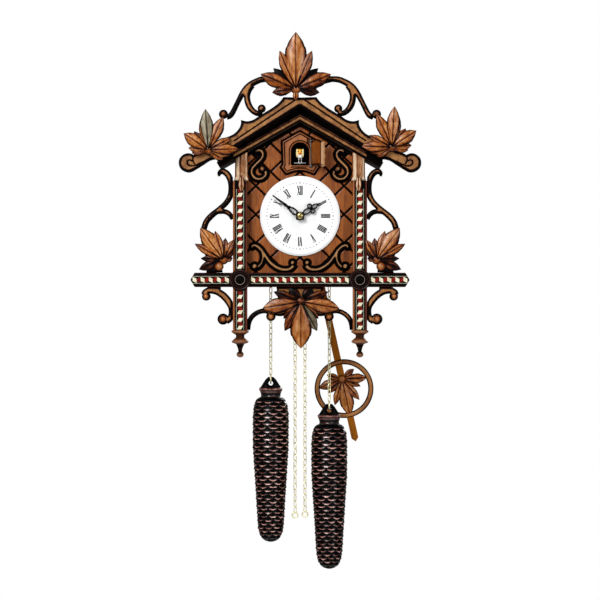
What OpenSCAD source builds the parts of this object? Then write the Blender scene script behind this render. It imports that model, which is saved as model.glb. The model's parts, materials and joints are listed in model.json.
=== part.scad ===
// Carved railroad-house cuckoo clock: case, carvings, eight-day movement, bird, weights and pendulum.
// +X is to the right seen from the front, +Y points into the wall, +Z is up.
// The origin is the centre of the hanging hole on the plane of the wall.

/* [Case] */
// Width over the two side boards
case_w = 140; // [136:1:144]
// Depth of the side boards
case_d = 98; // [96:1:100]
// Thickness of the side and bottom boards
board_t = 8; // [6:0.5:9]
// Thickness of the carved front panel
panel_t = 10; // [8:0.5:12]
// Slope of the roof in degrees
roof_pitch = 29.5; // [28:0.5:31]
// Thickness of the roof boards
roof_t = 7; // [6:0.5:8]
// Distance from the hanging hole down to the centre of the dial
dial_drop = 92.5; // [91:0.5:94]
// Thickness of each layer of carving
carve_t = 12; // [10:0.5:13]

/* [Posts and beam] */
// Distance from the middle of the clock to the middle of a post
post_x = 65.8; // [65:0.1:67]
// Width of a post and height of the cross beam
post_w = 15.8; // [15:0.1:16.5]
// Length of the cross beam
beam_l = 241; // [236:1:246]
// Height of the middle of the cross beam
beam_z = -162.9; // [-164:0.1:-162]

/* [Dial and hands] */
// Outer diameter of the dial
dial_d = 88; // [84:1:88]
// Length of the minute hand from the arbor
minute_l = 38; // [34:1:40]
// Length of the hour hand from the arbor
hour_l = 26.5; // [22:0.5:29]
// Angle of the minute hand, anticlockwise from twelve
minute_angle = 53; // [0:1:359]
// Angle of the hour hand, anticlockwise from twelve
hour_angle = -57; // [-180:1:180]

/* [Weights and chains] */
// Length of a pine-cone weight
weight_l = 184; // [176:1:188]
// Largest diameter of a weight
weight_d = 41.5; // [38:0.5:42]
// Height of the top of the left weight
left_weight_z = -270; // [-276:1:-264]
// Height of the top of the right weight
right_weight_z = -300; // [-306:1:-294]
// Diameter of the solid that stands for a chain
chain_d = 2; // [1.6:0.1:2.2]

/* [Pendulum] */
// Angle of the pendulum from straight down, towards the right
swing_angle = 12.5; // [-12.5:0.5:12.5]
// Length of the pendulum from its pivot to the point of the rod
pendulum_l = 288; // [280:1:294]
// Outer diameter of the ring
ring_d = 66; // [62:1:68]

/* [Hidden] */

$fn = 48;

// Case
side_x = case_w / 2;
inner_x = side_x - board_t;
slope = tan(roof_pitch);
roof_z = 10.8;
roof_rise = roof_t / cos(roof_pitch);
eave_x = 92;
// Lower outer corner of the roof board
eave_low_x = eave_x - roof_t * sin(roof_pitch);
case_bottom_z = -165;
panel_back = -case_d;
panel_front = panel_back - panel_t;
hanging_r = 4;
glue_t = 0.02;
rail_t = 8;
door_gap = 0.5;

// Layers of carving in front of the panel
back_layer = panel_front - 4;
fascia_y = -110;
front_layer = fascia_y - carve_t;
leaf_y = front_layer - carve_t;

// Posts and beam
post_top_z = -54;
post_bottom_z = -218.4;
post_front = panel_front - 16;
beam_bottom_z = beam_z - post_w / 2;
beam_top_z = beam_z + post_w / 2;
post_outer_x = post_x + post_w / 2;
post_inner_x = post_x - post_w / 2;
inlay_t = 0.6;
inlay_w = 6.4;
finial_profile = [[0, 0], [9.3, 0], [9.3, -2], [6.8, -3.6], [4.5, -5], [4.5, -7.5], [9.3, -12],
                  [8.4, -13.6], [4.7, -14.8], [2.4, -20], [1.8, -23], [4.1, -26.5], [2.6, -29], [0, -29.8]];

// Movement
dial_z = -dial_drop;
plate_t = 1.6;
front_plate_y = -86;
back_plate_y = -42;
plate_x = 46;
plate_top_z = -54;
plate_bottom_z = -159;
arbor_r = 0.8;
pivot_gap = 0.05;
mesh_gap = 0.2;
great_r = 28;
great_pinion_r = 2.3;
centre_r = 15;
third_r = 12;
escape_r = 9;
leaf_pinion_r = 1.3;
cannon_r = 2.8;
minute_wheel_r = 8.2;
minute_pinion_r = 2.2;
hour_wheel_r = 8.8;
chain_wheel_x = 19;
chain_wheel_z = dial_z - 23.9;
third_pos = [12.3, dial_z + 11];
escape_pos = [0, dial_z + 16.5];
verge_pos = [0, dial_z + 30.5];
cam_pos = [-27, dial_z + 5.6];
fly_pos = [-35, dial_z + 16.5];
motion_pos = [0, dial_z - cannon_r - minute_wheel_r - mesh_gap];
chain_y = -62;
sprocket_r = 12;
strand_r = 13.5;
strand_in = chain_wheel_x - strand_r;
strand_out = chain_wheel_x + strand_r;
going_plane = -76;
centre_plane = -70;
third_plane = -56;
strike_plane = -50;
minute_plane = -91;
hour_plane = -94;

// Gong hammer pivot
hammer_x = -42;
hammer_z = -78;

// Bird door
door_hinge = [11.8, -114.4];
door_sill_z = -36;
door_w = 21.6;
door_open = 122;
door_t = 2.6;
door_top_z = -11.5;
door_peak_z = -8;
pin_r = 0.8;
knuckle_z = [door_sill_z - 2.8, door_sill_z + 25.4];
arch_r = 9.2;
arch_z = -21.4;

// Pendulum
pendulum_y = -30;
rod_w = 7.8;
rod_t = 3;
ring_drop = 227.5;
pendulum_leaf_l = 42;

// ---- helpers ----

// Height of the underside of the roof at a distance x from the middle
function roof_under(x) = roof_z - slope * abs(x);

// Puts a flat shape, drawn as seen from the front, between depth y and y - t
module board(y, t) translate([0, y, 0]) rotate([90, 0, 0]) linear_extrude(height = t) children();

module mirrored() mirror([1, 0, 0]) children();

// A round bar along the depth, from depth y to y - l
module bar(pos, y, l, r) translate([pos[0], y, pos[1]]) rotate([90, 0, 0]) cylinder(h = l, r = r);

function item(list, i) = list[max(0, min(len(list) - 1, i))];

function spline(p0, p1, p2, p3, t) =
    0.5 * (2 * p1 + (p2 - p0) * t + (2 * p0 - 5 * p1 + 4 * p2 - p3) * t * t
           + (3 * p1 - p0 - 3 * p2 + p3) * t * t * t);

// A smooth path through points given as x, z, width
function smooth(pts, n = 4) =
    [for (i = [0 : len(pts) - 2], s = [0 : n - 1])
        spline(item(pts, i - 1), pts[i], pts[i + 1], item(pts, i + 2), s / n),
     pts[len(pts) - 1]];

function heading(path, i) =
    let (d = item(path, i + 1) - item(path, i - 1)) atan2(d[1], d[0]);

function rim(path, side) =
    [for (i = [0 : len(path) - 1])
        let (a = heading(path, i) + 90 * side, h = path[i][2] / 2)
        [path[i][0] + h * cos(a), path[i][1] + h * sin(a)]];

function backwards(list) = [for (i = [len(list) - 1 : -1 : 0]) list[i]];

// A carved scroll: a band of changing width along pts, ending in a round eye
module scroll(pts, eye) {
    path = smooth(pts);
    polygon(concat(rim(path, 1), backwards(rim(path, -1))));
    if (eye[2] > 0) translate([eye[0], eye[1]]) circle(d = eye[2]);
}

// One pointed lobe of a leaf: length l, width w, leaning a degrees to the right of straight up
module lobe(a, l, w) {
    steps = 8;
    half = [for (i = [0 : steps]) let (t = i / steps) [w / 2 * sin(180 * pow(t, 1.3)) + 0.02, l * t]];
    rotate(-a) polygon(concat(half, backwards([for (p = half) [-p[0], p[1]]])));
}

// A leaf is a fan of lobes, each given as angle, length, width
module leaf(lobes) for (b = lobes) lobe(b[0], b[1], b[2]);

// A symmetrical leaf with nine lobes: main lobe of length l, the others fanned out beside it
module maple(l, fan = 1) {
    lobe(0, l, 0.4 * l);
    for (s = [-1, 1]) {
        lobe(s * 23 * fan, 0.73 * l, 0.22 * l);
        lobe(s * 47 * fan, 0.54 * l, 0.18 * l);
        lobe(s * 67 * fan, 0.67 * l, 0.27 * l);
        lobe(s * 98 * fan, 0.42 * l, 0.18 * l);
    }
    circle(d = 0.16 * l);
}

// A toothed wheel of outer radius r with short teeth, centred on a plane across the depth
module gear(pos, plane, r, t, teeth, bore_r = 0) {
    tooth_l = min(0.9, 0.25 * r);
    tooth_w = PI * (r - tooth_l) / teeth;
    translate([pos[0], plane + t / 2, pos[1]]) rotate([90, 0, 0]) linear_extrude(height = t)
        difference() {
            union() {
                circle(r = r - tooth_l);
                for (i = [0 : teeth - 1]) rotate(i * 360 / teeth)
                    translate([r - 1.5 * tooth_l, -tooth_w / 2]) square([1.5 * tooth_l, tooth_w]);
            }
            if (bore_r > 0) circle(r = bore_r);
        }
}

// ---- case ----

module case_side() board(0, case_d) polygon([
    [inner_x, roof_under(inner_x) - glue_t], [side_x, roof_under(side_x) - glue_t],
    [side_x, case_bottom_z], [inner_x, case_bottom_z]]);

module case_side_right() color("saddlebrown") case_side();
module case_side_left() color("saddlebrown") mirrored() case_side();

module case_bottom() color("saddlebrown") difference() {
    translate([-inner_x, -case_d, case_bottom_z]) cube([2 * inner_x, case_d - rail_t, 6]);
    for (x = [-strand_out, -strand_in, strand_in, strand_out])
        translate([x, chain_y, case_bottom_z - 1]) cylinder(h = 8, r = 4.5);
    translate([-29, pendulum_y - 5, case_bottom_z - 1]) cube([58, 10, 8]);
}

module back_rail() color("saddlebrown") difference() {
    board(0, rail_t) polygon([
        [-inner_x, roof_under(inner_x)], [0, roof_z], [inner_x, roof_under(inner_x)],
        [inner_x, -40], [-inner_x, -40]]);
    bar([0, 0], 1, rail_t + 2, hanging_r);
}

module back_door() color("burlywood") difference() {
    translate([door_gap - inner_x, 1 - rail_t, case_bottom_z])
        cube([2 * (inner_x - door_gap), rail_t - 3, -40 - door_gap - case_bottom_z]);
    for (i = [-3 : 3]) bar([i * 9, -112], 1, rail_t + 2, 2);
}

module front_panel() color("sienna") difference() {
    board(panel_back, panel_t) polygon([
        [-side_x, roof_under(side_x)], [0, roof_z], [side_x, roof_under(side_x)],
        [side_x, case_bottom_z], [-side_x, case_bottom_z]]);
    door_opening(panel_back + 1, panel_t + 2);
    bar([0, dial_z], panel_back + 1, panel_t + 2, 12);
}

// The arched opening for the bird
module door_opening(y, t) board(y, t) {
    translate([0, arch_z]) circle(r = arch_r);
    translate([-arch_r, door_sill_z]) square([2 * arch_r, arch_z - door_sill_z]);
}

module roof_half() board(0, -fascia_y) polygon([
    [0, roof_z], [0, roof_z + roof_rise],
    [eave_x, roof_z + roof_rise - slope * eave_x],
    [eave_low_x, roof_under(eave_low_x)]]);

module roof_right() color("#3a2214") roof_half();
module roof_left() color("#3a2214") mirrored() roof_half();

// ---- gable ----

// Upper outline of the right half of the gable, from the peak to the volute
gable_top = [[0, 37], [18, 37.5], [23, 31], [32, 24.5], [38, 21], [46, 16], [51, 12.5], [56, 11],
             [60, 11], [65, 12.5], [64.5, 9], [66, 4], [70, -1], [75, -4.5], [82, -7], [92, -12]];
volute_path = [[92, -24, 14], [100, -28.5, 8], [108, -33.5, 8], [116, -38.5, 8], [122, -41, 8.5],
               [128, -38, 8.5], [128.5, -31.5, 8], [124, -28.5, 7], [120, -31, 6]];
volute_eye = [119.5, -32.5, 7];

module gable_half() {
    polygon(concat([for (p = gable_top) p], [[92, -31], [0, 27]]));
    scroll(volute_path, volute_eye);
    // Web that closes the volute below the corner leaf
    polygon([[92, -14], [104, -21], [116, -25], [122, -34], [108, -33.5], [92, -24]]);
    translate([122.5, -34]) circle(d = 20);
}

module gable_fascia() color("peru") {
    for (s = [0, 1]) mirror([s, 0, 0]) board(front_layer, carve_t) gable_half();
    // Recessed step behind the carved layer, and the stepped moulding under it
    board(fascia_y, carve_t) polygon([
        [0, 35], [60, 0], [86, -14], [91.5, -18], [91.5, -32], [eave_low_x, roof_under(eave_low_x) + 2],
        [0, roof_z + 2],
        [-eave_low_x, roof_under(eave_low_x) + 2], [-91.5, -32], [-91.5, -18], [-86, -14], [-60, 0]]);
}

top_scroll_path = [[-34, 57.5, 6], [-42, 57, 6.5], [-48, 54.8, 6.5], [-54, 51.5, 7], [-59, 47, 7],
                   [-63.5, 41, 6.2], [-67, 34.5, 5.6], [-70.5, 27.5, 5.6], [-73.5, 21.5, 5.8],
                   [-76.5, 17.3, 6], [-80.5, 15.6, 5.5]];
top_scroll_eye = [-84, 18.8, 10];
top_branch_path = [[-52, 50.5, 6], [-56, 46, 7], [-58, 40, 7], [-57.7, 34, 7], [-56, 28.5, 7],
                   [-53, 24, 6.5], [-49.5, 21, 6], [-45.5, 19.7, 6], [-41.5, 21, 5.5]];
top_branch_eye = [-42, 25, 9];

module top_scroll() board(front_layer, carve_t - 2) difference() {
    union() {
        scroll(top_scroll_path, top_scroll_eye);
        scroll(top_branch_path, top_branch_eye);
        // Root that carries both scrolls behind the top leaf
        polygon([[-2, 44], [-2, 60], [-20, 62], [-36, 60.4], [-36, 54.6], [-24, 51.5], [-14, 44]]);
    }
    mirrored() gable_half();
    polygon([[0, 20], [-50, 5], [-95, -15], [-95, -40], [0, -10]]);
}

module top_scroll_left() color("peru") top_scroll();
module top_scroll_right() color("peru") mirrored() top_scroll();

module top_leaf() color("chocolate") board(leaf_y, carve_t) translate([-4.6, 45.9]) {
    maple(62.5);
    lobe(180, 12, 7);
}

corner_leaf = [[-4, 45, 15], [24, 40, 14], [-14, 35, 10], [-37, 26, 9], [-56, 32.5, 15],
               [-84, 22, 10], [-100, 18.5, 9], [62, 28, 10], [88, 33, 13], [104, 24, 10], [124, 19, 9]];

module roof_leaf() board(leaf_y, carve_t) translate([-100.4, -20.8]) {
    leaf(corner_leaf);
    circle(d = 10);
}

module roof_leaf_left() color("chocolate") roof_leaf();
module roof_leaf_right() color("chocolate") mirrored() translate([0, 0, 3]) roof_leaf();

// ---- front ----

module post() {
    difference() {
        translate([post_inner_x, post_front, post_bottom_z])
            cube([post_w, panel_front - post_front, post_top_z - post_bottom_z]);
        // Half of the lap joint with the beam
        translate([post_inner_x - 1, post_front - 1, beam_bottom_z])
            cube([post_w + 2, 1 + (panel_front - post_front) / 2, post_w]);
    }
    translate([post_x, (panel_front + post_front) / 2, post_bottom_z])
        rotate_extrude() polygon(finial_profile);
}

module post_right() color("#2a1a10") post();
module post_left() color("#2a1a10") mirrored() post();

module pilaster() {
    half = 7.2;
    inner = post_x - 1.5 - half;
    outer = post_x - 1.5 + half;
    board(panel_front, carve_t) polygon([
        [inner, roof_under(inner)], [outer, roof_under(outer)], [outer, post_top_z + 4],
        [outer + 1.2, post_top_z], [inner - 1.2, post_top_z], [inner, post_top_z + 4]]);
}

module pilasters() color("peru") {
    pilaster();
    mirrored() pilaster();
}

module cross_beam() color("#1c120c") difference() {
    board(panel_front, panel_front - post_front) polygon([
        [-beam_l / 2, beam_z], [4.7 - beam_l / 2, beam_top_z], [beam_l / 2 - 4.7, beam_top_z],
        [beam_l / 2, beam_z], [beam_l / 2 - 4.7, beam_bottom_z], [4.7 - beam_l / 2, beam_bottom_z]]);
    for (x = [-post_x, post_x])
        translate([x - post_w / 2, (panel_front + post_front) / 2, beam_bottom_z - 1])
            cube([post_w, 20, post_w + 2]);
}

module rosette() translate([post_x, post_front, beam_z]) rotate([90, 0, 0]) rotate_extrude()
    polygon([[0, 0], [11.8, 0], [11.8, 2.5], [10, 4], [7.5, 3], [5.6, 4.5], [4, 3.6], [0, 4.5]]);

module rosettes() color("#1c120c") {
    rosette();
    mirrored() rosette();
}

// Strips of marquetry let into the faces of the beam and the posts
module inlay_strips() color("wheat") {
    for (x = [-post_x, post_x], span = [[-63, beam_z + 12.2], [beam_z - 12.2, post_bottom_z + 1]])
        translate([x - inlay_w / 2, post_front - inlay_t, span[1]])
            cube([inlay_w, inlay_t, span[0] - span[1]]);
    for (span = [[-118, -post_x - 12.2], [12.2 - post_x, post_x - 12.2], [post_x + 12.2, 118]])
        translate([span[0], post_front - inlay_t, beam_z - 4.2])
            cube([span[1] - span[0], inlay_t, 8.4]);
}

side_scroll_path = [[-89, -49, 2], [-88.5, -45.5, 5], [-85, -43.5, 6.5], [-80, -46.5, 7],
                    [-76.5, -53, 7], [-75.5, -61, 6.5], [-76.5, -70, 6.5], [-81, -78, 6],
                    [-89, -85.5, 6], [-97, -92, 6.5], [-103, -99, 6.5], [-106, -108, 6.5]];
side_branch_path = [[-97, -91, 3.5], [-89, -88, 5], [-82, -88, 5.5], [-77, -91, 5.5], [-74, -96, 5]];

module side_scroll() board(back_layer, carve_t) difference() {
    union() {
        scroll(side_scroll_path, [0, 0, 0]);
        scroll(side_branch_path, [0, 0, 0]);
        // Stem behind the leaf, down to the beam
        scroll([[-106, -108, 6.5], [-105, -118, 8], [-100, -130, 12], [-95, -142, 15],
                [-94, beam_top_z, 18]], [0, 0, 0]);
    }
    translate([-post_outer_x, -200]) square([20, 200]);
    translate([-150, beam_top_z - 50]) square([200, 50]);
}

module side_scroll_left() color("peru") side_scroll();
module side_scroll_right() color("peru") mirrored() side_scroll();

side_leaf_lobes = [[-36, 43, 18], [-61, 36, 10], [-16, 33, 10], [6, 24, 9], [28, 25, 9], [45, 15.5, 9],
                   [80, 10.5, 8], [-87, 25, 8], [-112, 29, 11], [-128, 22, 9]];

module side_leaf() board(post_front, carve_t - 2) difference() {
    translate([-84.2, -140.7]) {
        leaf(side_leaf_lobes);
        circle(d = 7);
        translate([-4.5, -7.5]) circle(d = 10);
    }
    translate([-150, beam_bottom_z - 20]) square([200, 20 + post_w]);
}

module side_leaf_left() color("chocolate") side_leaf();
module side_leaf_right() color("chocolate") mirrored() side_leaf();

outer_scroll_path = [[-106.5, -179, 4], [-105, -176, 5], [-100, -174.5, 7], [-92, -175.5, 7.5],
                     [-85, -179.5, 8], [-79, -186, 8], [-75.5, -193, 7], [-75, -200, 7],
                     [-77, -205.5, 7], [-81, -208.5, 7]];
inner_scroll_path = [[-57, -218, 4.5], [-56, -209, 5.5], [-52, -202.5, 5.5], [-46, -198.5, 5.5],
                     [-40, -197, 5.5], [-33, -197.5, 6.5], [-22, -199, 8], [-14, -196, 10]];

module lower_scrolls() color("peru") {
    board(panel_front, 10) lower_backing();
    for (s = [0, 1]) mirror([s, 0, 0]) {
        board(back_layer, carve_t) outer_bracket();
        board(panel_front, 10) inner_bracket();
    }
}

module outer_bracket() difference() {
    union() {
        scroll(outer_scroll_path, [-84.5, -206, 12.4]);
        translate([-103, -181]) circle(d = 9.5);
        translate([-102, beam_bottom_z - 3]) square([15, 3]);
    }
    translate([-post_outer_x, -260]) square([30, 200]);
}

module inner_bracket() difference() {
    scroll(inner_scroll_path, [-32, -203, 10.5]);
    translate([-post_inner_x - 20, -260]) square([20, 100]);
}

// Plain board behind the bottom leaf that joins the inner brackets to the beam
module lower_backing() polygon([
    [-26, beam_bottom_z], [26, beam_bottom_z], [22, -200], [-22, -200]]);

bottom_leaf_lobes = [[180, 51.5, 25], [151, 37, 13], [209, 37, 13], [100, 43, 18], [260, 43, 18],
                     [134, 27, 11], [226, 27, 11], [70, 32, 11], [290, 32, 11], [40, 20, 12], [320, 20, 12]];

module bottom_leaf() color("chocolate") board(panel_front - 10, carve_t - 2) difference() {
    translate([1, -186.8]) {
        leaf(bottom_leaf_lobes);
        circle(d = 12);
    }
    translate([-100, beam_bottom_z]) square([200, 60]);
}

upper_fret_path = [[-49, -23, 2.5], [-46.5, -20.5, 4], [-42.5, -21, 4], [-40.5, -25, 4], [-42.5, -30, 4],
                   [-48, -35.5, 4], [-52.5, -41, 4], [-52.5, -47, 4], [-48, -51.5, 4], [-42, -51.5, 4],
                   [-37.5, -47.5, 4], [-38, -42.5, 4.5]];
lower_fret_path = [[-53, -128.5, 3], [-52, -125.5, 4], [-48, -125.5, 4], [-43, -129.5, 4], [-38, -136.5, 4],
                   [-33, -143.5, 4], [-26, -149, 4.5], [-18.5, -151.8, 4.5], [-11, -151, 4.5],
                   [-6.5, -147, 5]];
lower_branch_path = [[-42, -131, 3], [-40.5, -138, 3.5], [-42.5, -145, 3.5], [-47, -149.5, 3.5]];

module fret() {
    scroll(upper_fret_path, [-41, -41.5, 5.5]);
    scroll(lower_fret_path, [-8, -144, 5.5]);
    scroll(lower_branch_path, [-50, -148, 6.5]);
}

module panel_fretwork() color("goldenrod") for (s = [0, 1]) mirror([s, 0, 0])
    board(panel_front, 3) fret();

module door_surround() color("sienna") difference() {
    union() {
        board(panel_front, 5) polygon([
            [0, 1], [20, -10.5], [19, -36], [21.3, -38.5], [15.5, -46.5], [8, -43.5], [0, -42.4],
            [-8, -43.5], [-15.5, -46.5], [-21.3, -38.5], [-19, -36], [-20, -10.5]]);
        for (z = knuckle_z) translate([door_hinge[0], door_hinge[1], z]) cylinder(h = 1.8, r = 1.8);
    }
    door_opening(panel_front + 1, 7);
    translate([door_hinge[0], door_hinge[1], door_sill_z - 5]) cylinder(h = 40, r = pin_r + pivot_gap);
}

module dial() color("white") difference() {
    translate([0, panel_front, dial_z]) rotate([90, 0, 0]) rotate_extrude()
        polygon([[0, 0], [dial_d / 2, 0], [dial_d / 2, 2], [dial_d / 2 - 2, 3], [0, 3]]);
    bar([0, dial_z], panel_front + 1, 5, 4);
}

// ---- movement ----

module plate_outline() difference() {
    translate([-plate_x, plate_bottom_z]) square([2 * plate_x, plate_top_z - plate_bottom_z]);
    for (p = [[chain_wheel_x, chain_wheel_z], [-chain_wheel_x, chain_wheel_z], third_pos, cam_pos, fly_pos])
        translate(p) circle(r = arbor_r + pivot_gap);
    translate(escape_pos) circle(r = arbor_r + pivot_gap);
    translate(verge_pos) circle(r = arbor_r + pivot_gap);
}

module pillar(x, z) bar([x, z], back_plate_y - plate_t, back_plate_y - plate_t - front_plate_y, 3);

module back_plate() color("gold") {
    board(back_plate_y, plate_t) difference() {
        plate_outline();
        translate([0, dial_z]) circle(r = arbor_r + pivot_gap);
    }
    for (x = [4 - plate_x, plate_x - 4], z = [plate_top_z - 4, plate_bottom_z + 4]) pillar(x, z);
}

module front_plate() color("gold") board(front_plate_y, plate_t) difference() {
    plate_outline();
    translate([0, dial_z]) circle(r = arbor_r + 1 + pivot_gap);
    translate(motion_pos) circle(r = arbor_r + pivot_gap);
}

// An arbor runs from the back plate through to the front plate
module arbor(pos, front = front_plate_y - plate_t) bar(pos, back_plate_y, back_plate_y - front, arbor_r);

module centre_arbor() color("gold") {
    arbor([0, dial_z], -120);
    gear([0, dial_z], going_plane, great_pinion_r, 4, 8);
    gear([0, dial_z], centre_plane, centre_r, 1.5, 75);
    gear([0, dial_z], minute_plane, cannon_r, 1.5, 12);
}

module minute_wheel() color("gold") {
    bar(motion_pos, front_plate_y, 10, arbor_r);
    gear(motion_pos, minute_plane, minute_wheel_r, 1.5, 36);
    gear(motion_pos, hour_plane, minute_pinion_r, 1.5, 10);
}

module third_arbor() color("gold") {
    arbor(third_pos);
    gear(third_pos, centre_plane, leaf_pinion_r, 4, 6);
    gear(third_pos, third_plane, third_r, 1.5, 60);
}

module escape_arbor() color("gold") {
    arbor(escape_pos);
    gear(escape_pos, third_plane, leaf_pinion_r, 4, 6);
    gear(escape_pos, strike_plane, escape_r, 1.5, 30);
}

module great_wheel(x, plane) color("gold")
    gear([x, chain_wheel_z], plane, great_r, 2, 96, arbor_r + 1 + pivot_gap);

module going_great_wheel() great_wheel(chain_wheel_x, going_plane);
module strike_great_wheel() great_wheel(-chain_wheel_x, strike_plane);

// Grooved chain wheel on its arbor, with the boss that carries the great wheel
module sprocket(x, boss_y) {
    arbor([x, chain_wheel_z]);
    bar([x, chain_wheel_z], boss_y + 4, 8, arbor_r + 1);
    bar([x, chain_wheel_z], chain_y + 4, 8, sprocket_r);
    for (y = [chain_y + 5.5, chain_y - 4]) bar([x, chain_wheel_z], y, 1.5, 15);
}

module going_sprocket() color("gold") sprocket(chain_wheel_x, going_plane);
module strike_sprocket() color("gold") sprocket(-chain_wheel_x, strike_plane);

module cam_arbor() color("gold") {
    arbor(cam_pos);
    gear(cam_pos, strike_plane, great_pinion_r, 4, 8);
    gear(cam_pos, centre_plane, third_r, 1.5, 60);
}

module fly() color("gold") {
    arbor(fly_pos);
    gear(fly_pos, centre_plane, leaf_pinion_r, 4, 6);
    translate([fly_pos[0] - 7, -82, fly_pos[1] - 1.4]) cube([14, 8, 2.8]);
}

module gong_arc(r, shift, turn) translate([shift, 0, 0]) rotate([90, 0, 0]) rotate([0, 0, turn])
    rotate_extrude(angle = 180) translate([r, 0]) circle(r = 0.9);

// Coiled gong rod built from half circles on two centres
module gong() color("dimgray") translate([0, -14, dial_z - 12]) {
    for (i = [0 : 3]) {
        gong_arc(12 + 5 * i, 0, 0);
        gong_arc(14.5 + 5 * i, -2.5, 180);
    }
    translate([6, -4, -3]) cube([12, 10, 6]);
}

// Whistle boxes stand beside the movement
module whistle_boxes() color("burlywood") for (x = [-61, 47.5]) difference() {
    translate([x, -74, -140]) cube([13.5, 26, 82]);
    translate([x + 2, -72, -138]) cube([9.5, 22, 78]);
    translate([x + 4, -75, -70]) cube([5.5, 4, 5]);
}

module bellows_top(x) translate([x, -74, -57.5]) {
    cube([13.5, 26, 2]);
    translate([1, 1, 2]) cube([11.5, 24, 2]);
}

module bellows_top_left() color("burlywood") bellows_top(-61);
module bellows_top_right() color("burlywood") bellows_top(47.5);

module gong_hammer() color("dimgray") {
    bar([hammer_x, hammer_z], -12, 8, 3);
    translate([hammer_x - 0.6, -17, hammer_z - 38]) cube([1.2, 2, 38]);
    translate([hammer_x, -16, hammer_z - 38]) sphere(r = 4.5);
}

// ---- hands ----

module hand(angle, length, hub_r, y, bore_r) color("black")
    translate([0, y, dial_z]) rotate([90, 0, 0]) rotate(angle) linear_extrude(height = 1)
        difference() {
            union() {
                circle(r = hub_r);
                translate([-1.2, 0]) square([2.4, 0.6 * length]);
                translate([0, 0.42 * length]) circle(r = 0.1 * length);
                translate([0, 0.62 * length]) circle(r = 0.08 * length);
                polygon([[-1.2, 0.66 * length], [0, length], [1.2, 0.66 * length]]);
            }
            circle(r = bore_r);
            translate([0, 0.42 * length]) circle(r = 0.06 * length);
            translate([0, 0.62 * length]) circle(r = 0.045 * length);
        }

module minute_hand() hand(minute_angle, minute_l, 4.5, -116.5, arbor_r);

module hour_hand() {
    hand(hour_angle, hour_l, 5, -113.5, arbor_r + pivot_gap);
    color("gold") difference() {
        union() {
            bar([0, dial_z], hour_plane + 0.75, 114 + hour_plane + 0.75, 2.5);
            gear([0, dial_z], hour_plane, hour_wheel_r, 1.5, 40);
        }
        bar([0, dial_z], 0, 130, arbor_r + pivot_gap);
    }
}

module hand_nut() color("gold") translate([0, -117.5, dial_z]) rotate([90, 0, 0]) difference() {
    cylinder(h = 2, r = 3.6);
    translate([0, 0, -1]) cylinder(h = 4, r = arbor_r);
}

// ---- bird ----

module bird() color("gold") translate([0, -108, door_sill_z]) {
    // Body, head, beak, legs, and the perch that carries the bird on its slide
    translate([0, 0, 9.5]) sphere(r = 4.4);
    translate([0, -1, 13]) sphere(r = 3.8);
    translate([0, -4, 12]) rotate([90, 0, 0]) cylinder(h = 3, r1 = 1.2, r2 = 0.3);
    for (x = [-1.5, 1.5]) translate([x, 0, 2]) cylinder(h = 5, r = 0.8);
    translate([-6.5, -3, 1]) cube([13, 20, 1.5]);
}

// The door stands open about its upright hinge pin
module bird_door() color("sienna") translate([door_hinge[0], door_hinge[1], 0]) {
    rotate([0, 0, door_open]) board(0, door_t) polygon([
        [0, door_sill_z - 0.5], [-door_w, door_sill_z - 0.5], [-door_w, door_top_z],
        [-door_w / 2, door_peak_z], [0, door_top_z]]);
    translate([0, 0, door_sill_z - 2.8]) cylinder(h = 30, r = pin_r);
}

// ---- pendulum ----

module hang() translate([verge_pos[0], 0, verge_pos[1]]) rotate([0, -swing_angle, 0]) children();

// Arbor, anchor and crutch
module verge() color("dimgray") hang() {
    bar([0, 0], -26, plate_t - 26 - front_plate_y, arbor_r);
    board(strike_plane + 1, 2) for (s = [-1, 1]) rotate(s * 60)
        translate([-0.8, -12]) square([1.6, 12]);
    board(-35, 1.2) translate([-0.6, -40]) square([1.2, 40]);
}

module pendulum_rod() color("saddlebrown") hang() difference() {
    board(pendulum_y + rod_t / 2, rod_t) difference() {
        union() {
            circle(r = rod_w / 2);
            translate([-rod_w / 2, 4 - pendulum_l]) square([rod_w, pendulum_l - 4]);
            polygon([[-rod_w / 2, 4 - pendulum_l], [0, -pendulum_l], [rod_w / 2, 4 - pendulum_l]]);
        }
        circle(r = arbor_r);
    }
}

// Ring and leaf carved in one piece, with a channel that grips the rod
module pendulum_ring() color("sienna") hang() difference() {
    board(pendulum_y + 5, 10) translate([0, -ring_drop]) {
        difference() {
            circle(d = ring_d);
            circle(d = ring_d - 12);
        }
        translate([0, 11]) rotate(180) maple(pendulum_leaf_l, 1.2);
    }
    translate([-rod_w / 2 - pivot_gap, pendulum_y - rod_t / 2 - pivot_gap, -pendulum_l - 1])
        cube([rod_w + 2 * pivot_gap, 20, pendulum_l]);
}

// ---- weights and chains ----

cone_profile = [[0, 0], [3, -0.5], [6, -3.5], [13, -14.5], [13, -16], [10.5, -23.5], [17.5, -30], [20.2, -40],
                [20.75, -52], [20.75, -84], [19.8, -104], [17.9, -122], [15.3, -156], [12, -172], [6, -181]];

module weight(x, z) translate([x, chain_y, z]) difference() {
    rotate_extrude() polygon(concat(
        [for (p = cone_profile) [p[0] * weight_d / 41.5, p[1] * weight_l / 184]], [[0, -weight_l]]));
    translate([0, 20, -7.5]) rotate([90, 0, 0]) cylinder(h = 40, r = 2.6);
    // The top is a flat lug for the hook
    for (y = [-33, 3]) translate([-20, y, -12]) cube([40, 30, 20]);
}

module weight_left() color("#2a1410") weight(-strand_out, left_weight_z);
module weight_right() color("#2a1410") weight(strand_out, right_weight_z);

// A chain strand hangs from inside the case down to a hook or an end ring
module strand(x, top, bottom) translate([x, chain_y, bottom]) cylinder(h = top - bottom, d = chain_d);

module weight_chain(x, z) {
    strand(x, -70, z + 2.5);
    translate([x, chain_y, z - 2.5]) rotate([0, 90, 0]) rotate_extrude() translate([5, 0]) circle(r = 0.9);
}

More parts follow.
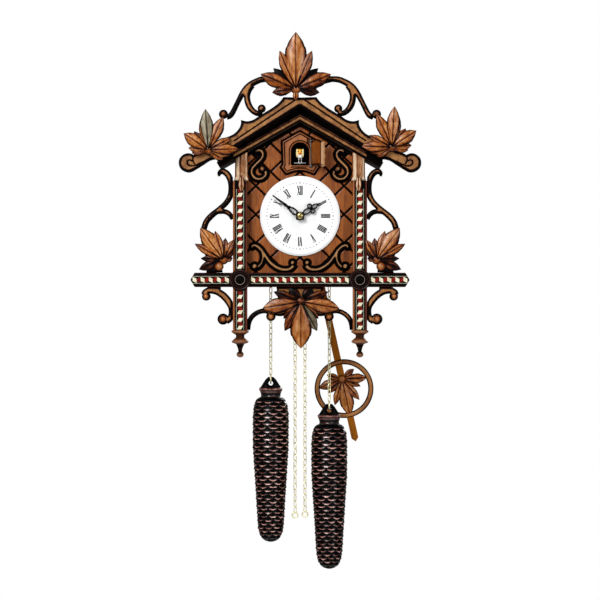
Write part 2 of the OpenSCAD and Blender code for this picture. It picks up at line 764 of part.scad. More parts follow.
module chain_tail(x, z) {
    strand(x, -100, z + 3);
    translate([x, chain_y, z]) rotate([90, 0, 0]) rotate_extrude() translate([3, 0]) circle(r = 0.8);
}

module left_chain() color("gold") weight_chain(-strand_out, left_weight_z);
module right_chain() color("gold") weight_chain(strand_out, right_weight_z);
module left_chain_tail() color("gold") chain_tail(-strand_in, -424);
module right_chain_tail() color("gold") chain_tail(strand_in, -423);

case_side_left();
case_side_right();
case_bottom();
back_rail();
back_door();
front_panel();
roof_left();
roof_right();
gable_fascia();
top_scroll_left();
top_scroll_right();
top_leaf();
roof_leaf_left();
roof_leaf_right();
side_scroll_left();
side_scroll_right();
side_leaf_left();
side_leaf_right();
post_left();
post_right();
pilasters();
cross_beam();
rosettes();
inlay_strips();
lower_scrolls();
bottom_leaf();
panel_fretwork();
door_surround();
dial();
front_plate();
back_plate();
gong();
whistle_boxes();
minute_hand();
hand_nut();
centre_arbor();
hour_hand();
minute_wheel();
third_arbor();
escape_arbor();
going_great_wheel();
strike_great_wheel();
cam_arbor();
fly();
going_sprocket();
strike_sprocket();
gong_hammer();
bellows_top_left();
bellows_top_right();
bird();
bird_door();
verge();
pendulum_rod();
pendulum_ring();
weight_left();
weight_right();
left_chain();
right_chain();
left_chain_tail();
right_chain_tail();
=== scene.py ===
import json
import math
import random
import bmesh
import bpy
import numpy as np
from mathutils import Matrix, Vector, geometry


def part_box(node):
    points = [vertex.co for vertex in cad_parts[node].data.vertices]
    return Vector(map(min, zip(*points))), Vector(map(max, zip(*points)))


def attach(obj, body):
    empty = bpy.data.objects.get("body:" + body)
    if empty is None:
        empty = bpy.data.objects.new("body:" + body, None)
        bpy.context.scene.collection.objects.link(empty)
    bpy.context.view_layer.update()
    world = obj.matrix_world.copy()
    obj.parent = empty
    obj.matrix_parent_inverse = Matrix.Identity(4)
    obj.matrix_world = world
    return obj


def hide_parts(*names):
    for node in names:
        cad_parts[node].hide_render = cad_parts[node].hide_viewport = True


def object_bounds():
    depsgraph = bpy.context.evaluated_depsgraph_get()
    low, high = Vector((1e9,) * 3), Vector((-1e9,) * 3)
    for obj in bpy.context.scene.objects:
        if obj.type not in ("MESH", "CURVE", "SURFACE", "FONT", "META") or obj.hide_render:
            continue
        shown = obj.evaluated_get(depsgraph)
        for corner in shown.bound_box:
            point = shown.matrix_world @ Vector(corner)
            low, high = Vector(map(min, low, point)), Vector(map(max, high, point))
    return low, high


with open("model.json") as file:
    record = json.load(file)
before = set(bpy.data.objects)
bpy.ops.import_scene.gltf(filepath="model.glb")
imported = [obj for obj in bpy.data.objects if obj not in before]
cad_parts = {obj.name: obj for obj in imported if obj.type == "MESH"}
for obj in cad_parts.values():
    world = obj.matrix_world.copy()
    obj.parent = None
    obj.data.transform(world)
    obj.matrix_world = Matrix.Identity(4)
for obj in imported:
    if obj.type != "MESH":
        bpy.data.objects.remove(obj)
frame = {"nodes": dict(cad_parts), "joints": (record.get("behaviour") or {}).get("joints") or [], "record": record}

cad_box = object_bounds()
MM = 0.001
random.seed(7)
BODY = {node: body for body, nodes in frame["record"]["behaviour"]["bodies"].items() for node in nodes}


# ---- places from the frame ----

def box_mm(node):
    """Lowest and highest corner of a CAD node in millimetres."""
    low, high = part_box(node)
    return [v / MM for v in low], [v / MM for v in high]


def pivot_mm(joint):
    """A point on the axis of a joint in millimetres."""
    return [v / MM for v in next(j for j in frame["joints"] if j["name"] == joint)["pos_m"]]


def points_mm(node):
    """All points of a CAD node in millimetres."""
    return np.array([v.co for v in frame["nodes"][node].data.vertices], float) / MM


def reach(node, pivot):
    """(angle, length) to the point of a node farthest from a pivot, the angle anticlockwise from straight up."""
    flat = points_mm(node)[:, [0, 2]] - np.array([pivot[0], pivot[2]])
    far = flat[np.argmax((flat ** 2).sum(1))]
    return math.atan2(-far[0], far[1]), math.hypot(*far)


def soften(loop):
    """Rounds the gentle corners of a closed loop by cutting them twice; sharp corners stay."""
    for _ in range(2):
        result = []
        for i, p in enumerate(loop):
            p, a, b = Vector(p), Vector(loop[i - 1]), Vector(loop[(i + 1) % len(loop)])
            before, after = p - a, b - p
            if min(before.length, after.length) < 1e-4 or not 3 < abs(math.degrees(before.angle_signed(after))) < 42:
                result.append(tuple(p))
            else:
                result.append(tuple(p - before * min(0.25, 3 / before.length)))
                result.append(tuple(p + after * min(0.25, 3 / after.length)))
        loop = result
    return loop


def outlines(node):
    """The outlines of a node's flat faces that look to the front: {depth: closed loops of (x, z)}."""
    bm = bmesh.new()
    bm.from_mesh(frame["nodes"][node].data)
    bmesh.ops.remove_doubles(bm, verts=bm.verts, dist=1e-6)
    planes = {}
    for face in bm.faces:
        if face.normal.y < -0.999:
            planes.setdefault(round(face.verts[0].co.y / MM, 1), set()).add(face)
    found = {}
    for depth, faces in planes.items():
        step = {}
        for face in faces:
            for corner in face.loops:
                if sum(f in faces for f in corner.edge.link_faces) == 1:
                    step.setdefault(corner.vert, []).append(corner.link_loop_next.vert)
        loops = []
        while step:
            path = [next(iter(step))]
            while True:
                here = path[-1]
                following = step[here].pop()
                if not step[here]:
                    del step[here]
                if following == path[0] or following not in step:
                    break
                path.append(following)
            loops.append(soften([(v.co.x / MM, v.co.z / MM) for v in path]))
        found[depth] = loops
    bm.free()
    return found


# ---- shells ----

class Shells:
    """Closed shells in millimetres, with a value at each point for wear and painted light: 0 is burnt dark and painted
    shade, 1 is rubbed light and painted highlight.
    """

    def __init__(self):
        self.verts = []
        self.faces = []
        self.wear_and_painted_light = []

    def add(self, verts, faces, wear_and_painted_light=1.0):
        base = len(self.verts)
        self.verts += [tuple(v) for v in verts]
        self.faces += [tuple(base + i for i in face) for face in faces]
        self.wear_and_painted_light += [float(wear_and_painted_light)] * len(verts) if np.isscalar(wear_and_painted_light) else [float(r) for r in wear_and_painted_light]


def make(name, shells, material, body="case", stands_for=(), sharp=38, matrix=None):
    """One object from its shells, riding on a body of the frame."""
    mesh = bpy.data.meshes.new(name)
    mesh.from_pydata([Vector(v) * MM for v in shells.verts], [], shells.faces)
    if matrix:
        mesh.transform(matrix)
    mesh.attributes.new("wear_and_painted_light", "FLOAT", "POINT").data.foreach_set("value", shells.wear_and_painted_light)
    bm = bmesh.new()
    bm.from_mesh(mesh)
    bmesh.ops.delete(bm, geom=[v for v in bm.verts if not v.link_faces], context="VERTS")
    bmesh.ops.recalc_face_normals(bm, faces=bm.faces)
    bm.to_mesh(mesh)
    bm.free()
    mesh.shade_smooth()
    mesh.set_sharp_from_angle(angle=math.radians(sharp))
    mesh.materials.append(material)
    obj = bpy.data.objects.new(name, mesh)
    bpy.context.scene.collection.objects.link(obj)
    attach(obj, body)
    if stands_for:
        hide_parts(*stands_for)
    return obj


def smooth(value, low, high):
    """0 below low, 1 above high, and an even change between them."""
    t = np.clip((value - low) / (high - low), 0, 1)
    return t * t * (3 - 2 * t)


def ends(loops):
    """The two ends of every edge of closed loops."""
    start = np.array([p for loop in loops for p in loop], float)
    stop = np.array([p for loop in loops for p in loop[1:] + loop[:1]], float)
    return start, stop


def distance(points, start, stop):
    """Distance from each point to the nearest edge."""
    run = stop - start
    length2 = (run ** 2).sum(1) + 1e-12
    best = []
    for some in np.array_split(points, max(1, len(points) // 1500)):
        to = some[:, None] - start
        t = np.clip((to * run).sum(2) / length2, 0, 1)
        best.append(np.sqrt(((to - t[..., None] * run) ** 2).sum(2)).min(1))
    return np.concatenate(best)


def inside(points, start, stop):
    """True for each point that lies inside the outline."""
    result = []
    rise = np.where(stop[:, 1] == start[:, 1], 1, stop[:, 1] - start[:, 1])
    for some in np.array_split(points, max(1, len(points) // 3000)):
        x, z = some[:, :1], some[:, 1:]
        crosses = (start[:, 1] > z) != (stop[:, 1] > z)
        at = start[:, 0] + (z - start[:, 1]) * (stop[:, 0] - start[:, 0]) / rise
        result.append((crosses & (x < at)).sum(1) % 2 == 1)
    return np.concatenate(result)


def rim_points(loops, step):
    """Points along closed loops, at most step apart, and the next point of each."""
    rim, following = [], []
    for loop in loops:
        base = len(rim)
        for a, b in zip(loop, loop[1:] + loop[:1]):
            count = max(1, math.ceil(math.dist(a, b) / step))
            rim += [(a[0] + (b[0] - a[0]) * k / count, a[1] + (b[1] - a[1]) * k / count) for k in range(count)]
        size = len(rim) - base
        following += [base + (k + 1) % size for k in range(size)]
    return np.array(rim, float), following


def beside(rim, following, gap):
    """Points at a distance to the left of a rim, which is its inner side."""
    along = rim[following] - rim
    along /= np.linalg.norm(along, axis=1)[:, None] + 1e-9
    return (rim + rim[following]) / 2 + gap * np.column_stack([-along[:, 1], along[:, 0]])


def triangles(points, following, start, stop):
    """Triangles that fill an outline, using its rim points first and the others after them."""
    edges = [(i, j) for i, j in enumerate(following)]
    flat, _, faces, origin, _, _ = geometry.delaunay_2d_cdt([Vector(p) for p in points], edges, [], 0, 1e-5)
    flat = np.array([tuple(p) for p in flat])
    faces = [f for f, ok in zip(faces, inside(np.array([flat[list(f)].mean(0) for f in faces]), start, stop)) if ok]
    place = {i: k for k, sources in enumerate(origin) for i in sources}
    return flat, faces, [place[i] for i in range(len(following))]


def relief(shells, loops, front, back, shape, grid=1.1, rings=(0.5, 1.1, 1.8), extra=None, shade=0.0, behind=0.7):
    """A carved board: shape(distance from the edge, x, z) gives how deep each point lies behind front, and its wear and
    painted light.

    shade moves the wear up and to the left, so that the lower right edges, turned from the light, stay darker as
    painted shade; behind is the wear at the back."""
    start, stop = ends(loops)
    rim, following = rim_points(loops, grid)
    inner = [rim]
    for gap in rings:
        ring = beside(rim, following, gap)
        ring = ring[inside(ring, start, stop)]
        if len(ring):
            inner.append(ring[distance(ring, start, stop) > 0.93 * gap])
    low, high = rim.min(0), rim.max(0)
    rows = np.arange(low[1], high[1], grid * 0.87)
    lattice = [(x + (k % 2) * grid / 2, z) for k, z in enumerate(rows) for x in np.arange(low[0], high[0], grid)]
    lattice = np.array(lattice)
    lattice = lattice[inside(lattice, start, stop)]
    inner.append(lattice[distance(lattice, start, stop) > rings[-1] + 0.45 * grid])
    if extra is not None:
        extra = extra[inside(extra, start, stop)]
        inner.append(extra[distance(extra, start, stop) > 0.25])
    flat, faces, place = triangles(np.vstack(inner), following, start, stop)
    depth, wear_and_painted_light = shape(distance(flat, start, stop), flat[:, 0], flat[:, 1])
    # painted shade: the lower right edges are darkened as if turned away from a light at the upper left
    if shade:
        moved = flat + np.array([shade, -shade])
        clear = distance(moved, start, stop) * inside(moved, start, stop)
        wear_and_painted_light = np.minimum(wear_and_painted_light, shape(clear, flat[:, 0], flat[:, 1])[1])
    verts = np.column_stack([flat[:, 0], front + depth, flat[:, 1]])
    rear, rear_faces, rear_place = triangles(rim, following, start, stop)
    base = len(verts)
    verts = np.vstack([verts, np.column_stack([rear[:, 0], np.full(len(rear), back), rear[:, 1]])])
    walls = [(place[i], place[j], base + rear_place[j], base + rear_place[i]) for i, j in enumerate(following)]
    caps = [tuple(base + i for i in reversed(f)) for f in rear_faces]
    shells.add(verts, list(faces) + walls + caps, np.concatenate([wear_and_painted_light, np.full(len(rear), behind)]))


def rounded(height, width, wear=(0.7, 1.9)):
    """A band with rounded edges: dark at the edge and rubbed light on top."""
    def shape(d, x, z):
        t = 1 - np.clip(d / width, 0, 1)
        return height * (1 - np.sqrt(1 - t * t)), smooth(d, *wear)
    return shape


def engraved(shape, lines, width, depth):
    """A shape with fine grooves cut into it along lines."""
    start = np.array([line[0] for line in lines], float)
    stop = np.array([line[1] for line in lines], float)

    def cut(d, x, z):
        deep, wear_and_painted_light = shape(d, x, z)
        near = distance(np.column_stack([x, z]), start, stop)
        return deep + depth * (1 - smooth(near, 0, width)), wear_and_painted_light * smooth(near, 0.35 * width, width)
    return cut


def area(loop):
    """Signed area of a loop, positive if it runs anticlockwise seen from the front."""
    return sum(a[0] * b[1] - b[0] * a[1] for a, b in zip(loop, loop[1:] + loop[:1])) / 2


def line_points(a, b, offsets, step):
    """Points along both sides of a line, for a groove in a relief."""
    a, b = np.array(a, float), np.array(b, float)
    count = max(2, int(np.linalg.norm(b - a) / step))
    along = (b - a) / np.linalg.norm(b - a)
    normal = np.array([-along[1], along[0]])
    return np.array([a + (b - a) * k / count + normal * o for k in range(count + 1) for o in offsets])


def lathe(shells, profile, centre, axis="z", segments=48, wear_and_painted_light=1.0):
    """A turned shape from (radius, height, wear and painted light) points that start and end on the axis."""
    verts, wear, rows = [], [], []
    for point in profile:
        r, h = point[0], point[1]
        count = 1 if r < 1e-6 else segments
        rows.append(range(len(verts), len(verts) + count))
        for k in range(count):
            a = 2 * math.pi * k / segments
            u, v = r * math.cos(a), r * math.sin(a)
            verts.append((centre[0] + u, centre[1] + v, centre[2] + h) if axis == "z"
                         else (centre[0] + u, centre[1] - h, centre[2] + v))
            wear.append(point[2] if len(point) > 2 else wear_and_painted_light)
    faces = []
    for low, high in zip(rows, rows[1:]):
        for k in range(segments):
            j = (k + 1) % segments
            if len(low) == 1 and len(high) == 1:
                continue
            if len(low) == 1:
                faces.append((low[0], high[k], high[j]))
            elif len(high) == 1:
                faces.append((low[k], low[j], high[0]))
            else:
                faces.append((low[k], low[j], high[j], high[k]))
    shells.add(verts, faces, wear)


def tube(shells, path, radius, normal, closed=False, sides=8, wear_and_painted_light=1.0):
    """A round wire along a flat path whose plane has the given normal."""
    path = [Vector(p) for p in path]
    normal = Vector(normal).normalized()
    n = len(path)
    verts = []
    for i, p in enumerate(path):
        if closed:
            along = path[(i + 1) % n] - path[i - 1]
        else:
            along = path[min(i + 1, n - 1)] - path[max(i - 1, 0)]
        side = normal.cross(along.normalized())
        r = radius[i] if hasattr(radius, "__len__") else radius
        for k in range(sides):
            a = 2 * math.pi * k / sides
            verts.append(p + r * (math.cos(a) * side + math.sin(a) * normal))
    faces = [(i * sides + k, i * sides + (k + 1) % sides, (i + 1) % n * sides + (k + 1) % sides, (i + 1) % n * sides + k)
             for i in range(n if closed else n - 1) for k in range(sides)]
    if not closed:
        faces += [tuple(range(sides))[::-1], tuple((n - 1) * sides + k for k in range(sides))]
    shells.add(verts, faces, wear_and_painted_light)


def ribbon(shells, path, widths, front, back, closed=False, chamfer=0.25, wear_and_painted_light=1.0):
    """A flat strip of metal or veneer along a path of (x, z) points."""
    path = [Vector(p) for p in path]
    n = len(path)
    verts = []
    for i, p in enumerate(path):
        after = path[(i + 1) % n] if closed else path[min(i + 1, n - 1)]
        before = path[i - 1] if closed or i else path[0]
        along = (after - before).normalized()
        side = Vector((-along.y, along.x))
        w = widths[i] / 2 if hasattr(widths, "__len__") else widths / 2
        c = min(chamfer, 0.5 * w, abs(front - back) / 2)
        for offset, y in [(-w, back), (-w, front + c), (c - w, front), (w - c, front), (w, front + c), (w, back)]:
            q = p + offset * side
            verts.append((q.x, y, q.y))
    faces = [(i * 6 + k, i * 6 + (k + 1) % 6, (i + 1) % n * 6 + (k + 1) % 6, (i + 1) % n * 6 + k)
             for i in range(n if closed else n - 1) for k in range(6)]
    if not closed:
        faces += [(5, 4, 3, 2, 1, 0), tuple((n - 1) * 6 + k for k in range(6))]
    shells.add(verts, faces, wear_and_painted_light)


def plate(shells, outline, front, back, wear_and_painted_light=1.0):
    """A thin flat piece with the given convex outline of (x, z) points."""
    n = len(outline)
    verts = [(x, front, z) for x, z in outline] + [(x, back, z) for x, z in outline]
    faces = [tuple(range(n)), tuple(range(2 * n - 1, n - 1, -1))]
    faces += [(k, (k + 1) % n, n + (k + 1) % n, n + k) for k in range(n)]
    shells.add(verts, faces, wear_and_painted_light)


def ball(shells, centre, radii, wear_and_painted_light=1.0, rings=14, sides=24, squeeze=None):
    """An egg-shaped lump; squeeze(x, y, z) can move its unit points."""
    verts, faces = [], []
    for i in range(1, rings):
        a = math.pi * i / rings
        for k in range(sides):
            b = 2 * math.pi * k / sides
            p = (math.sin(a) * math.cos(b), math.sin(a) * math.sin(b), math.cos(a))
            p = squeeze(*p) if squeeze else p
            verts.append([c + r * q for c, r, q in zip(centre, radii, p)])
    top, bottom = len(verts), len(verts) + 1
    for pole in (1, -1):
        p = squeeze(0, 0, pole) if squeeze else (0, 0, pole)
        verts.append([c + r * q for c, r, q in zip(centre, radii, p)])
    for k in range(sides):
        j = (k + 1) % sides
        faces.append((top, k, j))
        faces.append((bottom, (rings - 2) * sides + j, (rings - 2) * sides + k))
        for i in range(rings - 2):
            faces.append((i * sides + k, (i + 1) * sides + k, (i + 1) * sides + j, i * sides + j))
    shells.add(verts, faces, wear_and_painted_light)


# ---- materials ----

def new_material(name):
    material = bpy.data.materials.new(name)
    material.use_nodes = True
    tree = material.node_tree
    return material, tree, next(n for n in tree.nodes if n.type == "BSDF_PRINCIPLED")


def node(tree, kind, inputs=None, **settings):
    """A shader node with its settings, and with its inputs set to values or linked to sockets."""
    new = tree.nodes.new(kind)
    for key, value in settings.items():
        setattr(new, key, value)
    for key, value in (inputs or {}).items():
        if isinstance(value, bpy.types.NodeSocket):
            tree.links.new(value, new.inputs[key])
        else:
            new.inputs[key].default_value = value
    return new


def math_node(tree, operation, a, b, clamp=False):
    return node(tree, "ShaderNodeMath", {0: a, 1: b}, operation=operation, use_clamp=clamp).outputs[0]


def ramp(tree, value, stops):
    """Colours along a value, as (position, red, green, blue)."""
    new = node(tree, "ShaderNodeValToRGB", {"Fac": value})
    elements = new.color_ramp.elements
    while len(elements) < len(stops):
        elements.new(0.5)
    for element, stop in zip(elements, stops):
        element.position = stop[0]
        element.color = (*stop[1:], 1)
    return new.outputs["Color"]


def noise(tree, vector, scale, detail=4.0):
    return node(tree, "ShaderNodeTexNoise", {"Vector": vector, "Scale": scale, "Detail": detail}).outputs["Fac"]


def tint(tree, colour, shade, amount):
    """colour multiplied by shade, as strongly as amount says."""
    mix = node(tree, "ShaderNodeMix", {0: amount}, data_type="RGBA", blend_type="MULTIPLY")
    tree.links.new(colour, mix.inputs[6])
    tree.links.new(shade, mix.inputs[7])
    return mix.outputs[2]


def wood(name, stops, stretch=(1, 1, 0.07), grain=900, contrast=0.5, broken=0.35, rough=(0.34, 0.6), coat=0.1,
         bump=0.00012):
    """Stained wood: the value for wear and painted light picks the colour, and long fibres, pores and patches vary it.
    """
    material, tree, shader = new_material(name)
    place = node(tree, "ShaderNodeTexCoord").outputs["Object"]
    long = node(tree, "ShaderNodeMapping", {"Vector": place, "Scale": stretch}).outputs["Vector"]
    fibre = noise(tree, long, grain, 6)
    band = noise(tree, long, grain * 0.13, 3)
    patch = noise(tree, place, 140, 4)
    wear_and_painted_light = node(tree, "ShaderNodeAttribute", attribute_name="wear_and_painted_light").outputs["Fac"]
    shift = math_node(tree, "MULTIPLY", math_node(tree, "SUBTRACT", patch, 0.5), broken)
    worn = math_node(tree, "ADD", wear_and_painted_light, shift, clamp=True)
    colour = ramp(tree, worn, stops)
    shade = ramp(tree, fibre, [(0.3, 0.42, 0.34, 0.30), (0.5, 0.9, 0.88, 0.86), (0.72, 1, 1, 1)])
    colour = tint(tree, colour, shade, contrast)
    tone = ramp(tree, band, [(0.3, 0.62, 0.52, 0.46), (0.55, 1, 1, 1), (0.75, 1, 0.93, 0.84)])
    tree.links.new(tint(tree, colour, tone, contrast), shader.inputs["Base Color"])
    gloss = node(tree, "ShaderNodeMapRange", {"Value": fibre, "To Min": rough[0], "To Max": rough[1]})
    tree.links.new(gloss.outputs[0], shader.inputs["Roughness"])
    height = math_node(tree, "ADD", fibre, math_node(tree, "MULTIPLY", patch, 0.8))
    normal = node(tree, "ShaderNodeBump", {"Height": height, "Strength": 0.6, "Distance": bump})
    tree.links.new(normal.outputs[0], shader.inputs["Normal"])
    sheen = node(tree, "ShaderNodeMapRange", {"Value": worn, "From Min": 0.3, "To Min": 0.02, "To Max": 0.32})
    tree.links.new(sheen.outputs[0], shader.inputs["Specular IOR Level"])
    tree.links.new(math_node(tree, "MULTIPLY", worn, coat), shader.inputs["Coat Weight"])
    shader.inputs["Coat Roughness"].default_value = 0.28
    return material


def metal(name, dark, light, rough=(0.2, 0.4), scale=300, metallic=1.0):
    """Brushed metal with tarnish in patches and fine scratches."""
    material, tree, shader = new_material(name)
    place = node(tree, "ShaderNodeTexCoord").outputs["Object"]
    patch = noise(tree, place, scale, 5)
    brushed = node(tree, "ShaderNodeMapping", {"Vector": place, "Scale": (1, 1, 12)}).outputs["Vector"]
    scratch = noise(tree, brushed, scale * 3, 3)
    tree.links.new(ramp(tree, patch, [(0.3, *dark), (0.6, *light)]), shader.inputs["Base Color"])
    gloss = node(tree, "ShaderNodeMapRange", {"Value": scratch, "To Min": rough[0], "To Max": rough[1]})
    tree.links.new(gloss.outputs[0], shader.inputs["Roughness"])
    normal = node(tree, "ShaderNodeBump", {"Height": scratch, "Strength": 0.35, "Distance": 0.00005})
    tree.links.new(normal.outputs[0], shader.inputs["Normal"])
    shader.inputs["Metallic"].default_value = metallic
    return material


def paint(name, low, high, rough=0.45, scale=500, bump=0.00004, coat=0.0, sheen=0.4):
    """Paint or stained veneer with slight unevenness."""
    material, tree, shader = new_material(name)
    place = node(tree, "ShaderNodeTexCoord").outputs["Object"]
    uneven = noise(tree, place, scale, 5)
    tree.links.new(ramp(tree, uneven, [(0.3, *low), (0.65, *high)]), shader.inputs["Base Color"])
    gloss = node(tree, "ShaderNodeMapRange", {"Value": uneven, "To Min": rough - 0.1, "To Max": rough + 0.12})
    tree.links.new(gloss.outputs[0], shader.inputs["Roughness"])
    normal = node(tree, "ShaderNodeBump", {"Height": uneven, "Strength": 0.4, "Distance": bump})
    tree.links.new(normal.outputs[0], shader.inputs["Normal"])
    shader.inputs["Coat Weight"].default_value = coat
    shader.inputs["Specular IOR Level"].default_value = sheen
    return material


# the darkest colour serves both burnt stain and painted shade
BURNT_AND_SHADED = (0.003, 0.002, 0.002)
carved = wood("carved_wood", [(0.28, *BURNT_AND_SHADED), (0.48, 0.055, 0.011, 0.003), (0.70, 0.21, 0.064, 0.010),
                              (1.0, 0.39, 0.160, 0.034)], contrast=0.75)
# the palest stop of this ramp paints highlights into the colour of the rubbed wood
leafy = wood("leaf_wood", [(0.16, *BURNT_AND_SHADED), (0.34, 0.060, 0.010, 0.003), (0.56, 0.28, 0.070, 0.007),
                           (0.78, 0.46, 0.170, 0.034), (1.0, 0.66, 0.34, 0.14)], contrast=0.9, broken=0.6,
             rough=(0.2, 0.42), coat=0.35)
# grey wood that paints a grey sheen on a leaf lobe
grey_wood = wood("grey_sheen_wood", [(0.16, *BURNT_AND_SHADED), (0.4, 0.07, 0.055, 0.03), (0.7, 0.22, 0.19, 0.12),
                                    (1.0, 0.40, 0.37, 0.27)], contrast=0.7, broken=0.5)
gable_wood = wood("gable_wood", [(0.34, *BURNT_AND_SHADED), (0.54, 0.055, 0.011, 0.003), (0.76, 0.17, 0.055, 0.010),
                                 (1.0, 0.36, 0.160, 0.042)], stretch=(0.4, 1, 0.4), grain=600, contrast=0.9, broken=0.7)
panel_wood = wood("panel_wood", [(0.2, *BURNT_AND_SHADED), (0.5, 0.08, 0.015, 0.002), (0.8, 0.235, 0.055, 0.005),
                                 (1.0, 0.33, 0.092, 0.009)], contrast=1.0, broken=0.3, rough=(0.28, 0.5), coat=0.15)
ebony = wood("black_wood", [(0.2, *BURNT_AND_SHADED), (0.5, 0.045, 0.005, 0.003), (0.8, 0.17, 0.030, 0.006),
                            (1.0, 0.34, 0.10, 0.018)], broken=0.3, rough=(0.4, 0.6), coat=0.0)
side_wood = wood("side_wood", [(0.0, 0.15, 0.042, 0.012), (1.0, 0.24, 0.080, 0.024)], contrast=0.75, broken=0.6)
roof_wood = wood("roof_wood", [(0.0, 0.010, 0.006, 0.004), (1.0, 0.05, 0.022, 0.010)], stretch=(1, 0.07, 1),
                 contrast=0.6, broken=0.6)
plain_wood = wood("plain_wood", [(0.0, 0.36, 0.21, 0.09), (1.0, 0.46, 0.29, 0.13)], contrast=0.5, coat=0.0)
rod_wood = wood("rod_wood", [(0.0, 0.34, 0.110, 0.008), (1.0, 0.50, 0.180, 0.016)], contrast=0.5, broken=0.3)
turned_wood = wood("turned_wood", [(0.2, *BURNT_AND_SHADED), (0.6, 0.10, 0.030, 0.010), (1.0, 0.30, 0.12, 0.045)],
                   rough=(0.25, 0.45), coat=0.3)
cream = paint("cream_veneer", (0.62, 0.52, 0.30), (0.88, 0.84, 0.66), 0.4, 420)
red = paint("red_veneer", (0.06, 0.002, 0.002), (0.27, 0.006, 0.003), 0.5, 420, sheen=0.1)
green = paint("green_black_veneer", (0.003, 0.003, 0.002), (0.012, 0.014, 0.005), 0.6, 260, sheen=0.03)
stringing = paint("grey_stringing", (0.14, 0.145, 0.11), (0.32, 0.33, 0.25), 0.5, sheen=0.15)
white = paint("dial_white", (0.84, 0.845, 0.85), (0.90, 0.90, 0.90), 0.35, 90, coat=0.2)
ink = paint("numeral_ink", (0.012, 0.012, 0.012), (0.03, 0.03, 0.03), 0.5, 900, sheen=0.1)
black = paint("hand_black", (0.003, 0.003, 0.003), (0.009, 0.009, 0.009), 0.4, 300, sheen=0.2)
yellow = paint("bird_yellow", (0.78, 0.24, 0.01), (0.90, 0.56, 0.04), 0.4, 420)
pale_yellow = paint("bird_pale_yellow", (0.80, 0.56, 0.16), (0.90, 0.84, 0.50), 0.4, 420)
breast = paint("bird_white", (0.66, 0.66, 0.58), (0.88, 0.88, 0.84), 0.45)
orange = paint("beak_orange", (0.66, 0.04, 0.005), (0.80, 0.14, 0.01), 0.35, 800)
grey_metal = metal("grey_wire", (0.35, 0.35, 0.34), (0.62, 0.61, 0.58), (0.25, 0.4))
nut_brass = metal("nut_brass", (0.10, 0.08, 0.02), (0.62, 0.50, 0.20), (0.15, 0.35), 700)
brass = metal("brass", (0.55, 0.36, 0.12), (0.78, 0.58, 0.24))
pale_brass = metal("chain_brass", (0.80, 0.72, 0.36), (0.98, 0.93, 0.60), (0.3, 0.5), 500, 0.6)
dull_steel = metal("dull_steel", (0.10, 0.10, 0.10), (0.24, 0.24, 0.23), (0.4, 0.6))
steel = metal("steel", (0.22, 0.22, 0.23), (0.42, 0.42, 0.43), (0.3, 0.5))


def cone_iron():
    """Dark brown paint on cast iron, with copper red edges on the scales that brighten to a painted pinkish highlight.
    """
    material, tree, shader = new_material("cone_iron")
    place = node(tree, "ShaderNodeTexCoord").outputs["Object"]
    patch = noise(tree, place, 260, 5)
    wear_and_painted_light = node(tree, "ShaderNodeAttribute", attribute_name="wear_and_painted_light").outputs["Fac"]
    worn = math_node(tree, "ADD", wear_and_painted_light, math_node(tree, "MULTIPLY", math_node(tree, "SUBTRACT", patch, 0.5), 0.5), True)
    # the palest stop is a painted highlight on the scale edges
    colour = ramp(tree, worn, [(0.5, 0.001, 0.001, 0.001), (0.72, 0.12, 0.026, 0.018), (1.0, 0.82, 0.46, 0.38)])
    tree.links.new(colour, shader.inputs["Base Color"])
    gloss = node(tree, "ShaderNodeMapRange", {"Value": patch, "To Min": 0.22, "To Max": 0.48})
    tree.links.new(gloss.outputs[0], shader.inputs["Roughness"])
    normal = node(tree, "ShaderNodeBump", {"Height": patch, "Strength": 0.5, "Distance": 0.00015})
    tree.links.new(normal.outputs[0], shader.inputs["Normal"])
    shine = node(tree, "ShaderNodeMapRange", {"Value": wear_and_painted_light, "From Min": 0.3, "To Min": 0.03, "To Max": 0.6})
    tree.links.new(shine.outputs[0], shader.inputs["Specular IOR Level"])
    tree.links.new(math_node(tree, "MULTIPLY", wear_and_painted_light, 0.9), shader.inputs["Coat Weight"])
    shader.inputs["Coat Roughness"].default_value = 0.2
    return material


iron = cone_iron()


# ---- boards that keep their CAD shape ----

def refine(cad_node, material, width=0.5, wear=(1.0, 1.0), least=0.0):
    """A board with the shape of its CAD node and worn, rounded edges.

    wear gives how light the left edges and the others are, a lighter left edge being a painted highlight from the light
    on the left; edges shorter than least stay sharp."""
    bm = bmesh.new()
    bm.from_mesh(frame["nodes"][cad_node].data)
    bmesh.ops.remove_doubles(bm, verts=bm.verts, dist=1e-6)
    bmesh.ops.dissolve_limit(bm, angle_limit=math.radians(1), verts=bm.verts, edges=bm.edges)
    layer = bm.faces.layers.float.new("wear_and_painted_light")
    edges = [e for e in bm.edges if len(e.link_faces) == 2 and e.calc_face_angle() > math.radians(40)
             and e.calc_length() > least * MM]
    worn = bmesh.ops.bevel(bm, geom=edges, offset=width * MM, segments=2, profile=0.6, affect="EDGES",
                           clamp_overlap=not least)
    for face in worn["faces"]:
        face.normal_update()
        # partly wear, partly painted highlight: bevels that face left, toward the light, can be lighter than the others
        face[layer] = wear[0] if face.normal.x < -0.2 else wear[1]
    mesh = bpy.data.meshes.new(cad_node + "_board")
    bm.to_mesh(mesh)
    bm.free()
    mesh.shade_smooth()
    mesh.set_sharp_from_angle(angle=math.radians(32))
    mesh.materials.append(material)
    obj = bpy.data.objects.new(cad_node + "_board", mesh)
    bpy.context.scene.collection.objects.link(obj)
    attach(obj, BODY[cad_node])
    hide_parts(cad_node)
    return obj


def dress(cad_node, material):
    """A new finish for a CAD node that stays as it is."""
    obj = frame["nodes"][cad_node]
    if not obj.material_slots:
        obj.data.materials.append(material)
    for slot in obj.material_slots:
        slot.material = material


